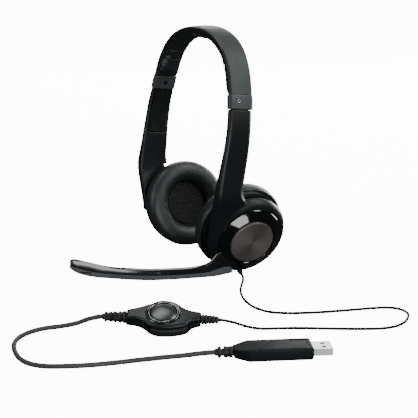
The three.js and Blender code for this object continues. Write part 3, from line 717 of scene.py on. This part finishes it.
def settle(bm, held, pressure, growth, cap):
    """Lets a cover settle in place as cloth under pressure, at ten times its size. The held
    points stay, and none moves further than cap."""
    obj = as_object(bm.copy(), "settling_cover")
    mesh = obj.data
    rest = np.empty(len(mesh.vertices) * 3)
    mesh.vertices.foreach_get("co", rest)
    mesh.transform(Matrix.Scale(0.01, 4))
    group = obj.vertex_groups.new(name="held")
    group.add(held, 1.0, "REPLACE")
    cloth = obj.modifiers.new("cloth", "CLOTH")
    for setting, value in {**COVER_CLOTH, "uniform_pressure_force": pressure, "shrink_min": -growth}.items():
        setattr(cloth.settings, setting, value)
    cloth.settings.effector_weights.gravity = 0
    cloth.collision_settings.use_collision = False
    cloth.point_cache.frame_end = SETTLING_FRAMES
    for step in range(1, SETTLING_FRAMES + 1):
        SCENE.frame_set(step)
    shaped = obj.evaluated_get(bpy.context.evaluated_depsgraph_get())
    moved = np.empty_like(rest)
    shaped.data.vertices.foreach_get("co", moved)
    discard(obj)
    SCENE.frame_set(1)
    rest = rest.reshape(-1, 3)
    shift = moved.reshape(-1, 3) * 100 - rest
    far = np.linalg.norm(shift, axis=1, keepdims=True)
    for v, place in zip(bm.verts, rest + shift * np.minimum(1, cap / np.maximum(far, 1e-9))):
        v.co = place


PAD_PROFILE = [
    (31.9, 14.2, 0.3), (32.6, 14.5, 0.6), (32.9, 18.5, 3), (32.8, 22.6, 6), (31.1, 25.9, 3.4),
    (27.3, 27.7, 3), (22.2, 27.6, 3), (18.5, 25.7, 2.6), (16.7, 22.4, 2), (16.6, 19.4, 0.4),
    (21, 18.4, 0.5), (31.4, 18.4, 0.4)]


def even_outline(outline, spacing):
    """A closed outline again, with its points about spacing apart."""
    loop = np.array([*outline, outline[0]])
    at = np.concatenate([[0], np.cumsum(np.linalg.norm(np.diff(loop, axis=0), axis=1))])
    count = round(at[-1] / spacing)
    places = np.linspace(0, at[-1], count, endpoint=False)
    return [tuple(float(np.interp(p, at, loop[:, k])) for k in range(2)) for p in places]


def pad_cover():
    """The ear pad's cover before and after it settles, as a mesh in the cup's own frame."""
    bm = turned(even_outline(rounded(PAD_PROFILE, 4), 1.15), 150, closed=True)
    bm.verts.ensure_lookup_table()
    bm.verts.index_update()
    bm.normal_update()
    held = [v.index for v in bm.verts
            if v.co.z < 15.0 or (v.co.z < 19.6 and v.co.xy.length < 32.2)]
    fixed = set(held)
    for v in bm.verts:
        if v.index not in fixed:
            v.co += v.normal * 0.12 * noise.noise(v.co * 0.35)
    settle(bm, held, pressure=3.0, growth=0.045, cap=0.7)
    return bm


def make_ear_pads():
    cover = pad_cover()
    for side, turn in (("left", 0), ("right", 117)):
        bm = placed(cover.copy(), Matrix.Rotation(math.radians(turn), 4, "Z"))
        pad = piece(f"{side}_ear_pad_cover", bm, CUP[side], FINISH["leatherette"], f"{side}_cup",
                    [f"{side}_ear_pad"], crease=75)
        add_subdivision(pad)
        welt = bead(32.75, 15.6, 0.28)
        piece(f"{side}_ear_pad_welt", welt, CUP[side], FINISH["leatherette"], f"{side}_cup")
    cover.free()


def add_subdivision(obj, levels=1):
    modifier = obj.modifiers.new("subdivision", "SUBSURF")
    modifier.levels = modifier.render_levels = levels


def cushion_section(t, _height):
    """The headband cushion's outline: flat above, crowned below, drawn in at its ends."""
    near_end = min(1, max(0, (0.5 - abs(t - 0.5) - left_at(CAP_TOP + 2)) / 0.012))
    fat = 0.35 + 0.65 * math.sin(near_end * math.pi / 2)
    low = -4.2 - 2.9 * fat
    return even_outline(rounded([
        (-8.7, -4.2, 0.3), (8.7, -4.2, 0.3), (8.9, -4.9, 0.5), (8.2, (low - 4.2) / 2 - 0.9, 1.2),
        (6.2, low + 0.25, 2), (0, low - 0.1, 0), (-6.2, low + 0.25, 2),
        (-8.2, (low - 4.2) / 2 - 0.9, 1.2), (-8.9, -4.9, 0.5)], 3), 1.0)


CUSHION_RINGS = 240
CUSHION_START = left_at(CAP_TOP + 2)
CUSHION_POINTS = len(cushion_section(0.5, 0))
HELD_ABOVE = -4.75          # the cushion's skin is fixed to the headband above this depth


def even_cushion_section(t, height):
    """The cushion's outline with the same number of points all along."""
    outline = cushion_section(t, height)
    loop = np.array([*outline, outline[0]])
    at = np.linspace(0, len(outline), CUSHION_POINTS, endpoint=False)
    return [tuple(float(np.interp(a, range(len(loop)), loop[:, k])) for k in range(2)) for a in at]


def wrinkle_cushion(bm):
    """Settles the cover, then folds it crosswise and gathers it along both seams."""
    bm.verts.index_update()
    bm.normal_update()
    held = set()
    for v in bm.verts:
        ring, place = divmod(v.index, CUSHION_POINTS)
        outline = even_cushion_section(CUSHION_START + (1 - 2 * CUSHION_START) * ring / CUSHION_RINGS, 0)
        if outline[place][1] > HELD_ABOVE or ring in (0, CUSHION_RINGS):
            held.add(v.index)
    settle(bm, sorted(held), pressure=2.2, growth=0.06, cap=0.75)
    bm.normal_update()
    middle = even_cushion_section(0.5, 0)
    for v in bm.verts:
        if v.index in held:
            continue
        ring, place = divmod(v.index, CUSHION_POINTS)
        across = middle[place][0]
        fold = noise.noise(Vector((across * 0.11, ring * 0.42, 3.0)))
        by_seam = math.exp(-((abs(across) - 7.6) / 1.6) ** 2)
        gather = by_seam * noise.noise(Vector((0.0, ring * 0.95, across)))
        v.co += v.normal * (0.34 * fold + 0.4 * gather)


def make_headband_cushion():
    ends = (CUSHION_START, 1 - CUSHION_START)
    bm = extruded(arch_rings(*ends, CUSHION_RINGS, even_cushion_section))
    wrinkle_cushion(bm)
    cushion = piece("headband_cushion_cover", bm, ROW, FINISH["leatherette"], "headband",
                    ["headband_cushion"], crease=75)
    add_subdivision(cushion)
    angles = np.linspace(0, 2 * math.pi, 8, endpoint=False)
    for edge, side in ((-9.0, "back"), (9.0, "front")):
        section = [(edge + 0.26 * math.cos(a), -4.65 + 0.26 * math.sin(a)) for a in angles]
        rings = arch_rings(*ends, 190, lambda _t, _height: section)
        piece(f"headband_cushion_{side}_welt", extruded(rings), ROW, FINISH["leatherette"], "headband")


# ---- end caps and sliders --------------------------------------------------------------
def cap_section(_t, _height):
    return rounded([
        (-9.7, -4.2, 0.5), (-8.4, -5.2, 0.5), (8.4, -5.2, 0.5), (9.7, -4.2, 0.5),
        (9.7, -0.8, 0.35), (8.2, 0.5, 0.35), (-8.2, 0.5, 0.35), (-9.7, -0.8, 0.35)])


def flat_bar(half, low, high):
    return lambda _t, _height: [(-half, low), (half, low), (half, high), (-half, high)]


def across_arch(height, across, outward):
    """A frame on the arch at a height, its Z pointing outward, for a small turned piece."""
    point, side, out, _ = arch_frame(left_at(height))
    turned_to = Matrix((side, out.cross(side), out)).transposed().to_4x4()
    return Matrix.Translation(point + side * across + out * outward) @ turned_to


def screw_head(radius, low, high):
    """A pan head with a cross recess, its face at high."""
    head = lathed([(0, low, 0), (radius, low, 0), (radius, high, radius * 0.35),
                   (0, high + radius * 0.08, 0)], 40, arc=5)
    arm, deep = radius * 0.62, (high - low) * 0.55
    cross = [block(-arm, arm, -arm * 0.22, arm * 0.22, high - deep, high + 1),
             block(-arm * 0.22, arm * 0.22, -arm, arm, high - deep, high + 1)]
    return carved(head, *cross)


def make_end_caps():
    for side in SIDE:
        body = extruded(arch_rings(left_at(CAP_BOTTOM), left_at(CAP_TOP), 14, cap_section))
        rims = [e for e in body.edges if len(e.link_faces) == 2
                and any(len(f.verts) > 8 for f in e.link_faces)]
        bmesh.ops.bevel(body, geom=rims, offset=0.28, segments=3, profile=0.5, affect="EDGES", material=-1)
        slot = extruded(arch_rings(left_at(CAP_BOTTOM - 3), left_at(CAP_TOP + 3), 8,
                                   flat_bar(6.1, -3.1, -1.45)))
        seat = placed(flat_plug(1.75, -2, 2, 32), across_arch(129.8, 0, -6.1))
        body = carved(body, slot, seat)
        piece(f"{side}_end_cap_moulding", body, SIDE[side], FINISH["cap"], "headband",
              [f"{side}_end_cap"])
        inner = across_arch(129.8, 0, -4.35) @ Matrix.Rotation(math.pi, 4, "X")
        piece(f"{side}_cap_screw_head", screw_head(1.5, 0, 0.75), SIDE[side] @ inner, FINISH["dark_steel"],
              "headband", [f"{side}_cap_screw"])
        rivet = lathed([(0, -0.3, 0), (1.35, -0.3, 0), (1.35, 0.22, 0.15), (1.05, 0.26, 0.1),
                        (0.8, 0.02, 0.1), (0, 0.0, 0)], 40, arc=3)
        piece(f"{side}_cap_rivet", rivet, SIDE[side] @ across_arch(129.9, 2.6, 0.5), FINISH["bright"],
              "headband")


# ---- arm and dish ----------------------------------------------------------------------
# By height: half widths ahead of and behind the arch line, and how far the arm stands out past it.
ARM_EDGES = np.array([
    (30, 9.2, 24, 3.4), (45, 9.2, 26, 3.4), (52, 10, 28, 3.4), (56, 10.6, 24.6, 3.4), (59, 11, 19, 3.3),
    (62, 11.2, 15, 3.1), (66, 11.3, 12.4, 2.7), (71, 11.2, 11.2, 2.0), (82.3, 10.8, 10.7, 0.7),
    (93, 10.3, 10.3, 0), (104, 9.8, 9.9, 0), (126, 9.25, 9.25, 0)])
EVEN_EDGES = smooth_line(ARM_EDGES, 8)


def arm_section(_t, height):
    front, back, out = (float(np.interp(height, EVEN_EDGES[:, 0], EVEN_EDGES[:, k])) for k in (1, 2, 3))
    return rounded([
        (-back, -ARM_THICK, 0.9), (front, -ARM_THICK, 0.9), (front, out - 1.2, 0.8),
        (front - 1.5, out, 1.2),
        (2.8 + out - back, out, 2.2), (-back, -1.7, 0.9)])


DISH_PROFILE = [
    (0, 0.3), (25.2, 0.3), (27.6, 1.0), (29.6, 2.7), (30.8, 5.0), (31, 6.5), (29.6, 6.5),
    (28.9, 4.6), (27, 3.0), (24, 2.5), (0, 2.5)]


def pivot_lug(turn, low, high):
    """A lug with a pin hole through it, on the cup's upright or level axis."""
    lug = block(-2.6, 2.6, 9.4, 11.4, low, high, 0.3, 2)
    hole = placed(flat_plug(1.25, -30, 30, 20),
                  Matrix.Translation((0, 0, PIVOT_DEPTH)) @ Matrix.Rotation(math.pi / 2, 4, "X"))
    return placed(carved(lug, hole), Matrix.Rotation(math.radians(turn), 4, "Z"))


def channel_section(_t, _height):
    """The slider's slot and, inward of it, the liner's seat."""
    return [(-7.2, -6), (7.2, -6), (7.2, -3.05), (6.1, -3.05), (6.1, -1.45), (-6.1, -1.45),
            (-6.1, -3.05), (-7.2, -3.05)]


def arm_and_dish():
    frame_of_cup = cup_frame()
    arm = extruded(arch_rings(0, left_at(ARM_TOP), 70, arm_section))
    above = placed(turned([(0, -9), (46, -9), (46, 0.9), (26, 0.9), (25, 0.3), (0, 0.3)], 64), frame_of_cup)
    hollow = placed(turned([(0, 2.0), (24, 2.0), (27, 2.6), (29.3, 4.8), (29.8, 6.6), (34.6, 6.6),
                            (34.6, 60), (0, 60)], 64), frame_of_cup)
    dish = placed(lathed([(r, d, 0.8 if 20 < r < 31 else 0) for r, d in DISH_PROFILE], 128), frame_of_cup)
    channel = extruded(arch_rings(left_at(CHANNEL_BOTTOM), left_at(ARM_TOP + 3), 12, channel_section))
    lugs = [placed(pivot_lug(turn, 2.2, PIVOT_DEPTH + 2.2), frame_of_cup) for turn in (0, 180)]
    body = remoulded([carved(arm, above, hollow, channel), dish, *lugs], 0.45, 5)
    blend_shoulder(body, frame_of_cup.inverted())
    return body


SHOULDER_SMOOTHING = 30


def blend_shoulder(bm, into_cup):
    """Softens the join where the arm runs into the dish: outside the ring, on the outer side."""
    near = []
    for v in bm.verts:
        at = into_cup @ v.co
        if 24.6 < at.xy.length < 48 and at.z < 3.2 and at.y > 4:
            near.append(v)
    for _ in range(SHOULDER_SMOOTHING):
        bmesh.ops.smooth_vert(bm, verts=near, factor=0.5, use_axis_x=True, use_axis_y=True, use_axis_z=True)


def make_arms():
    left = arm_and_dish()
    for side in SIDE:
        piece(f"{side}_arm_and_dish_moulding", left.copy(), SIDE[side], FINISH["satin"], f"{side}_yoke",
              [f"{side}_arm_and_dish"], crease=60)
    left.free()


# ---- badge, ring and boom --------------------------------------------------------------
RING_PROFILE = [(17.4, 0, 0), (17.4, -4.4, 0.2), (17.9, -4.9, 0.25), (18.7, -4.9, 0.3), (24.3, -1.3, 0.4),
                (24.7, -0.7, 0.25), (24.7, 0, 0)]


def ring_face():
    return lathed(RING_PROFILE, 160, closed=True)


def badge():
    face = [(r, -5.4 - 0.22 * (1 - (r / 15.2) ** 2), 0) for r in np.linspace(0, 15.0, 12)]
    return lathed([*face, (15.6, -5.42, 0.1), (16.4, -5.15, 0.3), (17.0, -4.4, 0.2), (17.0, 0, 0),
                   (0, 0, 0)], 160)


BOOM = [
    (12, -26.4, -19, -9), (18, -26.9, -19.2, -7), (22, -27.1, -19.6, -6.2), (25, -27.2, -20.3, -8),
    (27.5, -27.1, -21, -11.2), (30, -27, -21.5, -14.2), (34, -26.7, -21.7, -16), (45, -25.7, -21, -16.4),
    (61, -24.2, -19.6, -15), (76, -22.8, -18, -13.6), (90, -21, -16.2, -11.8), (104, -18.9, -14.4, -9.8),
    (113, -17.7, -12.9, -7.6), (121, -16, -11, -5.1), (127, -14, -9.2, -3.6), (130.5, -12, -8.1, -2.9),
    (132, -10.4, -7.4, -3.4),
]


def boom_rings(section):
    """Rings along the boom, with a rounded tip."""
    rings = []
    for forward, low, middle, high in smooth_line(BOOM, 7):
        depth = -1.9 + 12 * max(0, (forward - 50) / 85) ** 2
        half = 2.0 + 0.4 * max(0, (forward - 90) / 40)
        half *= 1 - 0.4 * max(0, (forward - 127.5) / 4.5) ** 2
        outline = section(low, middle, high, half)
        rings.append([Vector((forward, up, depth + inward)) for up, inward in outline])
    last = rings[-1]
    middle = sum(last, Vector()) / len(last)
    for share, ahead in ((0.93, 0.25), (0.78, 0.5), (0.5, 0.68)):
        rings.append([middle + (p - middle) * share + Vector((ahead, 0, 0)) for p in last])
    return rings


def body_section(low, middle, high, half):
    return rounded([(middle - 0.12, -half, 0.25), (middle - 0.12, half, 0.25), (low + 1.0, half, 0.7),
                    (low, half * 0.45, 0.7), (low, -half * 0.45, 0.7), (low + 1.3, -half, 0.8)], 4)


def trim_section(low, middle, high, half):
    rise = high - middle
    top = min(0.42 * rise - half - 0.3, 0.0)
    return rounded([(middle + 0.12, -half - 0.3, 0.3), (high - 0.7, top, 0.5), (high, 0.5 * half, 0.3),
                    (high - 0.8, half, 0.3), (middle + 0.12, half, 0.25)], 4)


def make_boom():
    place = DISH["left"]
    trim = carved(extruded(boom_rings(trim_section)), flat_plug(18.6, -9, 3, 96))
    piece("boom_hub_ring", ring_face(), place, FINISH["gloss"], "mic_boom",
          ["boom_hub_and_trim"])
    piece("boom_gloss_trim", trim, place, FINISH["trim"], "mic_boom", crease=40)
    body = extruded(boom_rings(body_section))
    hub = flat_plug(RING_RADIUS + GAP, -9, 3, 128)
    slot = block(118.5, 127.5, -13.5, -11.9, -9, 20, 0.5, 3)
    seat = placed(flat_plug(1.8, 4.4, 15, 32), Matrix.Translation((112.5, -15.4, 0)))
    piece("boom_satin_body", carved(body, hub, slot, seat), place, FINISH["boom"], "mic_boom",
          ["boom_body"], crease=40)
    foam = block(118.8, 127.2, -13.3, -12.1, 5.7, 8.6, 0.45, 3)
    long_edges = [e for e in foam.edges if e.calc_length() > 2]
    bmesh.ops.subdivide_edges(foam, edges=long_edges, cuts=12, use_grid_fill=True)
    for v in foam.verts:
        v.co.z += 0.12 * noise.noise(v.co * 2.2)
    piece("mic_foam_plug", foam, place, FINISH["foam"], "mic_boom", ["mic_foam"], crease=60)


def make_hubs():
    for side in SIDE:
        piece(f"{side}_badge_face", badge(), DISH[side], FINISH[f"{side}_disc"], f"{side}_yoke",
              [f"{side}_badge_disc"])
    piece("right_cover_ring_face", ring_face(), DISH["right"], FINISH["gloss"], "right_yoke",
          ["right_cover_ring"])
    make_boom()


# ---- ear cups --------------------------------------------------------------------------
CUP_PROFILE = [
    (0, 12.0, 0), (20, 12.0, 3), (26.5, 12.6, 2), (30, 13.8, 1.2), (31.3, 15.2, 0.6), (31.5, 16.6, 0.15),
    (29.9, 16.6, 0.1), (29.6, 15.6, 0.2), (28, 14.6, 0.6), (20, 13.5, 2), (0, 13.5, 0)]
CLOTH_RADIUS = 16.1


def dip(radius):
    """How far the cloth sags at a radius, from 1 in the middle to 0 at its rim."""
    return math.cos(radius / CLOTH_RADIUS * math.pi / 2)


def make_cups():
    for side in SIDE:
        bowl = lathed(CUP_PROFILE, 128)
        lugs = [pivot_lug(turn, PIVOT_DEPTH - 1.7, 12.6) for turn in (90, 270)]
        piece(f"{side}_cup_shell_moulding", fused(bowl, *lugs), CUP[side], FINISH["satin"], f"{side}_cup",
              [f"{side}_cup_shell"])
        face = [(r, 20.3 - 0.45 * dip(r)) for r in np.linspace(0, 15.9, 26)]
        back = [(r, 19.7 - 0.35 * dip(r)) for r in np.linspace(15.9, 0, 14)]
        disc = turned([*face, (CLOTH_RADIUS, 20.15), (CLOTH_RADIUS, 19.75), *back], 96)
        for v in disc.verts:
            v.co.z += 0.07 * noise.noise(v.co * 0.55)
        piece(f"{side}_pad_cloth_disc", disc, CUP[side], FINISH["cloth"], f"{side}_cup",
              [f"{side}_pad_cloth"], crease=70)


# ---- the lead: gland, remote and plug --------------------------------------------------
def make_gland():
    relief = lathed([(0, 0, 0), (2.1, 0, 0.2), (2.1, 1.0, 0.2), (1.75, 1.5, 0.2), (1.75, 2.3, 0.2),
                     (1.95, 2.6, 0.15), (1.95, 3.5, 0.15), (1.6, 3.8, 0.15), (1.6, 4.6, 0.15),
                     (1.7, 4.8, 0.1), (1.6, 5.6, 0.15), (1.3, 5.9, 0.1), (1.2, 7.2, 0.15), (0, 7.2, 0)],
                    32, arc=3)
    aim = Vector((0.36, 0.93, -0.05)).normalized()
    turn = Vector((0, 0, 1)).rotation_difference(aim).to_matrix().to_4x4()
    return piece("cord_gland_boot", relief, ROW @ Matrix.Translation((0.4, 46.9, 2.1)) @ turn,
                 FINISH["rubber"], "left_yoke", ["cord_gland"])


REMOTE_OUTLINE = [
    (-24, 4.2), (-15.5, 6.6), (-8.5, 9.6), (-2, 12.2), (3, 12.4), (7.6, 10.6), (12, 6.9), (17, 4.4),
    (24, 3.6), (24, -3.6), (18.6, -5.6), (16, -9.6), (10, -12), (2, -13.2), (-4, -12.8), (-8.4, -10.6),
    (-12.2, -7.2), (-17, -4.8), (-24, -4.2),
]
ROCKER_OUTLINE = [
    (-6.6, -10.2), (16, -8.6), (15.6, -11.2), (10, -13.4), (2, -14.6), (-3.6, -14.1), (-7, -12.4)]


def remote_sides():
    """The remote's outline as one smooth line with square ends."""
    long_side = smooth_line(REMOTE_OUTLINE[:9], 6)
    short_side = smooth_line(REMOTE_OUTLINE[9:], 6)
    return [tuple(p) for p in (*long_side, *short_side)]


def remote_shell(low, high, bevel, cuts):
    rim = {"bevel_high": bevel} if high > 0 else {"bevel_low": bevel}
    body = remoulded([slab(remote_sides(), low, high, segments=8, **rim)], 0.34, 3)
    flat = 0.15 if high > 0 else -0.15
    for v in body.verts:
        thin = 1 - 0.24 * max(0, (abs(v.co.x) - 10) / 14) ** 1.3
        v.co.z = flat + (v.co.z - flat) * thin
    return carved(body, *cuts)


def remote_cavity(low, high):
    return fused(block(-20, 20, -3.2, 3.2, low, high),
                 flat_plug(10.3, low, high))


def rocker_slot():
    return block(-8.6, 17.6, -18, -6.6, -2.5, 2.5)


def ribbed(length, root, tip, ribs):
    """A strain relief of separate collars, bridged on alternate sides, along +X."""
    pitch = length / ribs
    parts = [turned([(0, 0), (tip * 0.8 + 0.3, 0), (tip * 0.8 + 0.2, length), (0, length)], 32)]
    for i in range(ribs):
        radius = root + (tip + 1.1 - root) * i / (ribs - 1)
        at = i * pitch
        parts.append(lathed([(0, at, 0), (radius, at, 0.35), (radius * 0.96, at + pitch * 0.5, 0.35),
                             (0, at + pitch * 0.5, 0)], 40))
        if i + 1 < ribs:
            wide = radius * 0.62
            for sign in (-1, 1):
                x0, x1 = sorted((sign * radius * 0.45, sign * radius * 0.86))
                bridge = block(x0, x1, -wide / 2, wide / 2, at + pitch * 0.3, at + pitch * 1.2)
                parts.append(placed(bridge, Matrix.Rotation(math.pi / 2 * (i % 2), 4, "Z")))
    return placed(remoulded(parts, 0.2, 2), Matrix.Rotation(math.pi / 2, 4, "Y"))


def make_remote():
    """The in-line remote's pieces, by name."""
    window = flat_plug(8.9, 1, 9, 96)
    seat = flat_plug(11.5, 4.2, 9, 96)
    upper = remote_shell(0.15, 4.8, 1.9, [remote_cavity(-1, 2.9), window, seat, rocker_slot()])
    well = placed(flat_plug(1.9, -9, -4.1, 32), Matrix.Translation((-15, 0, 0)))
    lower = remote_shell(-5.2, -0.15, 2.1, [remote_cavity(-3.2, 1), well, rocker_slot()])
    flip = Matrix.Translation((-15, 0, -4.35)) @ Matrix.Rotation(math.pi, 4, "X")
    bezel = lathed([(9.1, 4.5, 0), (11.2, 4.5, 0), (11.2, 5.25, 0.25), (10.6, 5.7, 0.3),
                    (9.5, 5.5, 0.25), (9.1, 5.15, 0.15)], 128, closed=True)
    lip = bead(9.12, 5.28, 0.2, 128)
    dome = [(r, 6.5 - 1.15 * (r / 8.2) ** 2.2, 0) for r in np.linspace(0, 7.7, 14)]
    button = lathed([*dome, (8.3, 5.1, 0.35), (8.5, 4.2, 0.2), (8.5, 3.3, 0.1), (1.8, 3.3, 0.2),
                     (1.8, 2.1, 0.1), (0, 2.1, 0)])
    rocker = slab(smooth_outline(ROCKER_OUTLINE, 6), -1.9, 1.9, 0.55, 0.55)
    out_boot = placed(ribbed(12 - GAP, 3.6, 1.5, 5), Matrix.Translation((REMOTE_HALF + GAP, 0, 0)))
    in_boot = placed(ribbed(15.5 - GAP, 4.1, 2.2, 5),
                     Matrix.Translation((-REMOTE_HALF - GAP, 0, 0)) @ Matrix.Rotation(math.pi, 4, "Z"))
    made = {}
    for name, shape, finish, slot, body, node in (
            ("remote_upper_moulding", upper, "satin", "satin_black", "left_yoke", "remote_upper_shell"),
            ("remote_lower_moulding", lower, "satin", "satin_black", "left_yoke", "remote_lower_shell"),
            ("remote_screw_head", placed(screw_head(1.5, 0, 0.6), flip), "steel", "steel", "left_yoke",
             "remote_screw"),
            ("remote_bezel_ring", bezel, "gloss", "gloss_black", "left_yoke", "remote_bezel"),
            ("remote_bezel_bright_edge", lip, "bright", "bright_trim", "left_yoke", ""),
            ("mute_button_dome", button, "button", "gloss_black", "mute_button", "mute_button"),
            ("volume_rocker_key", rocker, "rubber", "soft_rubber", "volume_rocker", "volume_rocker"),
            ("remote_outlet_boot", out_boot, "rubber", "soft_rubber", "left_yoke", "remote_outlet_relief"),
            ("remote_inlet_boot", in_boot, "rubber", "soft_rubber", "left_yoke", "remote_inlet_relief")):
        made[name] = piece(name, shape, REMOTE, FINISH[finish], body, [node] if node else (),
                           crease=38)
    return made


def make_plug():
    outline = [(11.1, 4.4, 1.4), (20, PLUG_HALF, 3), (59, PLUG_HALF, 1.4), (59, -PLUG_HALF, 1.4),
               (20, -PLUG_HALF, 3), (11.1, -4.4, 1.4)]
    body = slab(rounded(outline, 5), -3.9, 3.9, 1.2, 1.2, 6)
    for v in body.verts:
        v.co.z *= 0.72 + 0.28 * min(1, max(0, (v.co.x - 11.1) / 8.9))
    pocket = slab(rounded([(46, -6.3, 1), (57, -6.3, 1), (57, 6.3, 1), (46, 6.3, 1)], 4), 3.55, 6)
    body = carved(body, block(34, 70, -6.5, 6.5, -2.7, 2.7), pocket)
    boot = placed(ribbed(10.8, 3.7, 2.6, 3),
                  Matrix.Translation((10.8, 0, 0)) @ Matrix.Rotation(math.pi, 4, "Z"))
    housing = piece("plug_housing_moulding", body, PLUG, FINISH["plug"], "left_yoke",
                    ["plug_housing"])
    relief = piece("plug_boot", boot, PLUG, FINISH["rubber"], "left_yoke", ["plug_relief"],
                   crease=38)
    return [housing, relief]


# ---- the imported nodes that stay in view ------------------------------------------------
KEPT = {
    "steel": ["headband_spring", "left_driver_magnet", "right_driver_magnet", "mic_capsule"],
    "usb": ["usb_shell"],
    "rim": ["headband_liner"],
    "satin": ["left_arm_liner", "right_arm_liner"],
    "dull": ["left_slider_strip", "right_slider_strip", "left_pivot_ring", "right_pivot_ring", "left_baffle",
             "right_baffle", "left_driver_basket", "right_driver_basket", "mute_switch"],
    "board": ["remote_board", "plug_board"],
    "film": ["left_diaphragm", "right_diaphragm"],
    "gloss": ["usb_tongue"],
}


def dress_kept_nodes():
    """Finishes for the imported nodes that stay, with their doubled points merged and edges broken."""
    for finish, names in KEPT.items():
        for name in names:
            node = NODES[name]
            node.data.materials.clear()
            node.data.materials.append(FINISH[finish])
            weld = node.modifiers.new("weld", "WELD")
            weld.merge_threshold = 1e-6
            edge = node.modifiers.new("broken_edge", "BEVEL")
            edge.width = 0.00012
            edge.segments = 2
            edge.limit_method = "ANGLE"
            edge.angle_limit = math.radians(50)


# ---- the studio ------------------------------------------------------------------------
def soft_light(name, place, width, height, power):
    data = bpy.data.lights.new(name, "AREA")
    data.shape = "RECTANGLE"
    data.size, data.size_y, data.energy = width, height, power
    light = bpy.data.objects.new(name, data)
    light.location = place
    light.rotation_euler = (Vector(AIM) - Vector(place)).to_track_quat("-Z", "Y").to_euler()
    SCENE.collection.objects.link(light)


def make_floor():
    """A white table top that glows a little, so that it stays pale with soft shadows."""
    bm = bmesh.new()
    bmesh.ops.create_grid(bm, x_segments=4, y_segments=4, size=12)
    floor = as_object(bm, "floor")
    material = bpy.data.materials.new("pale_floor")
    material.use_nodes = True
    shader = material.node_tree.nodes["Principled BSDF"]
    shader.inputs["Base Color"].default_value = (0.85, 0.85, 0.85, 1)
    shader.inputs["Roughness"].default_value = 0.9
    shader.inputs["Specular IOR Level"].default_value = 0.1
    shader.inputs["Emission Color"].default_value = (1, 1, 1, 1)
    shader.inputs["Emission Strength"].default_value = FLOOR_GLOW
    floor.data.materials.append(material)
    floor.visible_glossy = False
    floor.visible_diffuse = False


FLOOR_GLOW = 12.0
SKY = 0.34              # the room's light on matt surfaces
SKY_MIRRORED = 0.03     # and what glossy surfaces mirror of it
AIM = (-0.04, 0.0, 0.09)
SOFT_LIGHTS = [
    ("front_strip", (0.27, 1.0, 0.14), 0.70, 0.30, 6),
    ("boom_strip", (-0.60, 0.86, 0.62), 0.34, 0.30, 3.2),
    ("key_softbox", (-0.66, 0.50, 1.05), 0.45, 0.45, 6),
    ("top_softbox", (0.1, -0.35, 1.25), 0.9, 0.6, 7),
    ("left_softbox", (1.15, -0.1, 0.55), 0.5, 0.7, 5),
    ("edge_strip", (-1.2, -0.32, 0.16), 0.8, 0.4, 15),
    ("back_card", (-0.62, -0.80, 0.42), 0.9, 0.4, 6),
]


def make_studio():
    make_floor()
    world = bpy.data.worlds.new("studio")
    world.use_nodes = True
    SCENE.world = world
    tree = world.node_tree
    glossy = tree.nodes.new("ShaderNodeLightPath").outputs["Is Glossy Ray"]
    background = tree.nodes["Background"]
    background.inputs["Color"].default_value = (1, 1, 1, 1)
    strength = maths(tree, "MULTIPLY_ADD", glossy, SKY_MIRRORED - SKY, SKY)
    tree.links.new(strength, background.inputs["Strength"])
    for settings in SOFT_LIGHTS:
        soft_light(*settings)


# ---- assembly --------------------------------------------------------------------------
make_headband()
make_headband_cushion()
make_ear_pads()
make_end_caps()
make_arms()
make_hubs()
make_cups()
gland = make_gland()
remote = make_remote()
plug = make_plug()
dress_kept_nodes()
make_studio()

on_thick = [remote.pop("remote_inlet_boot"), *plug, NODES["usb_shell"], NODES["usb_tongue"],
            NODES["plug_board"]]
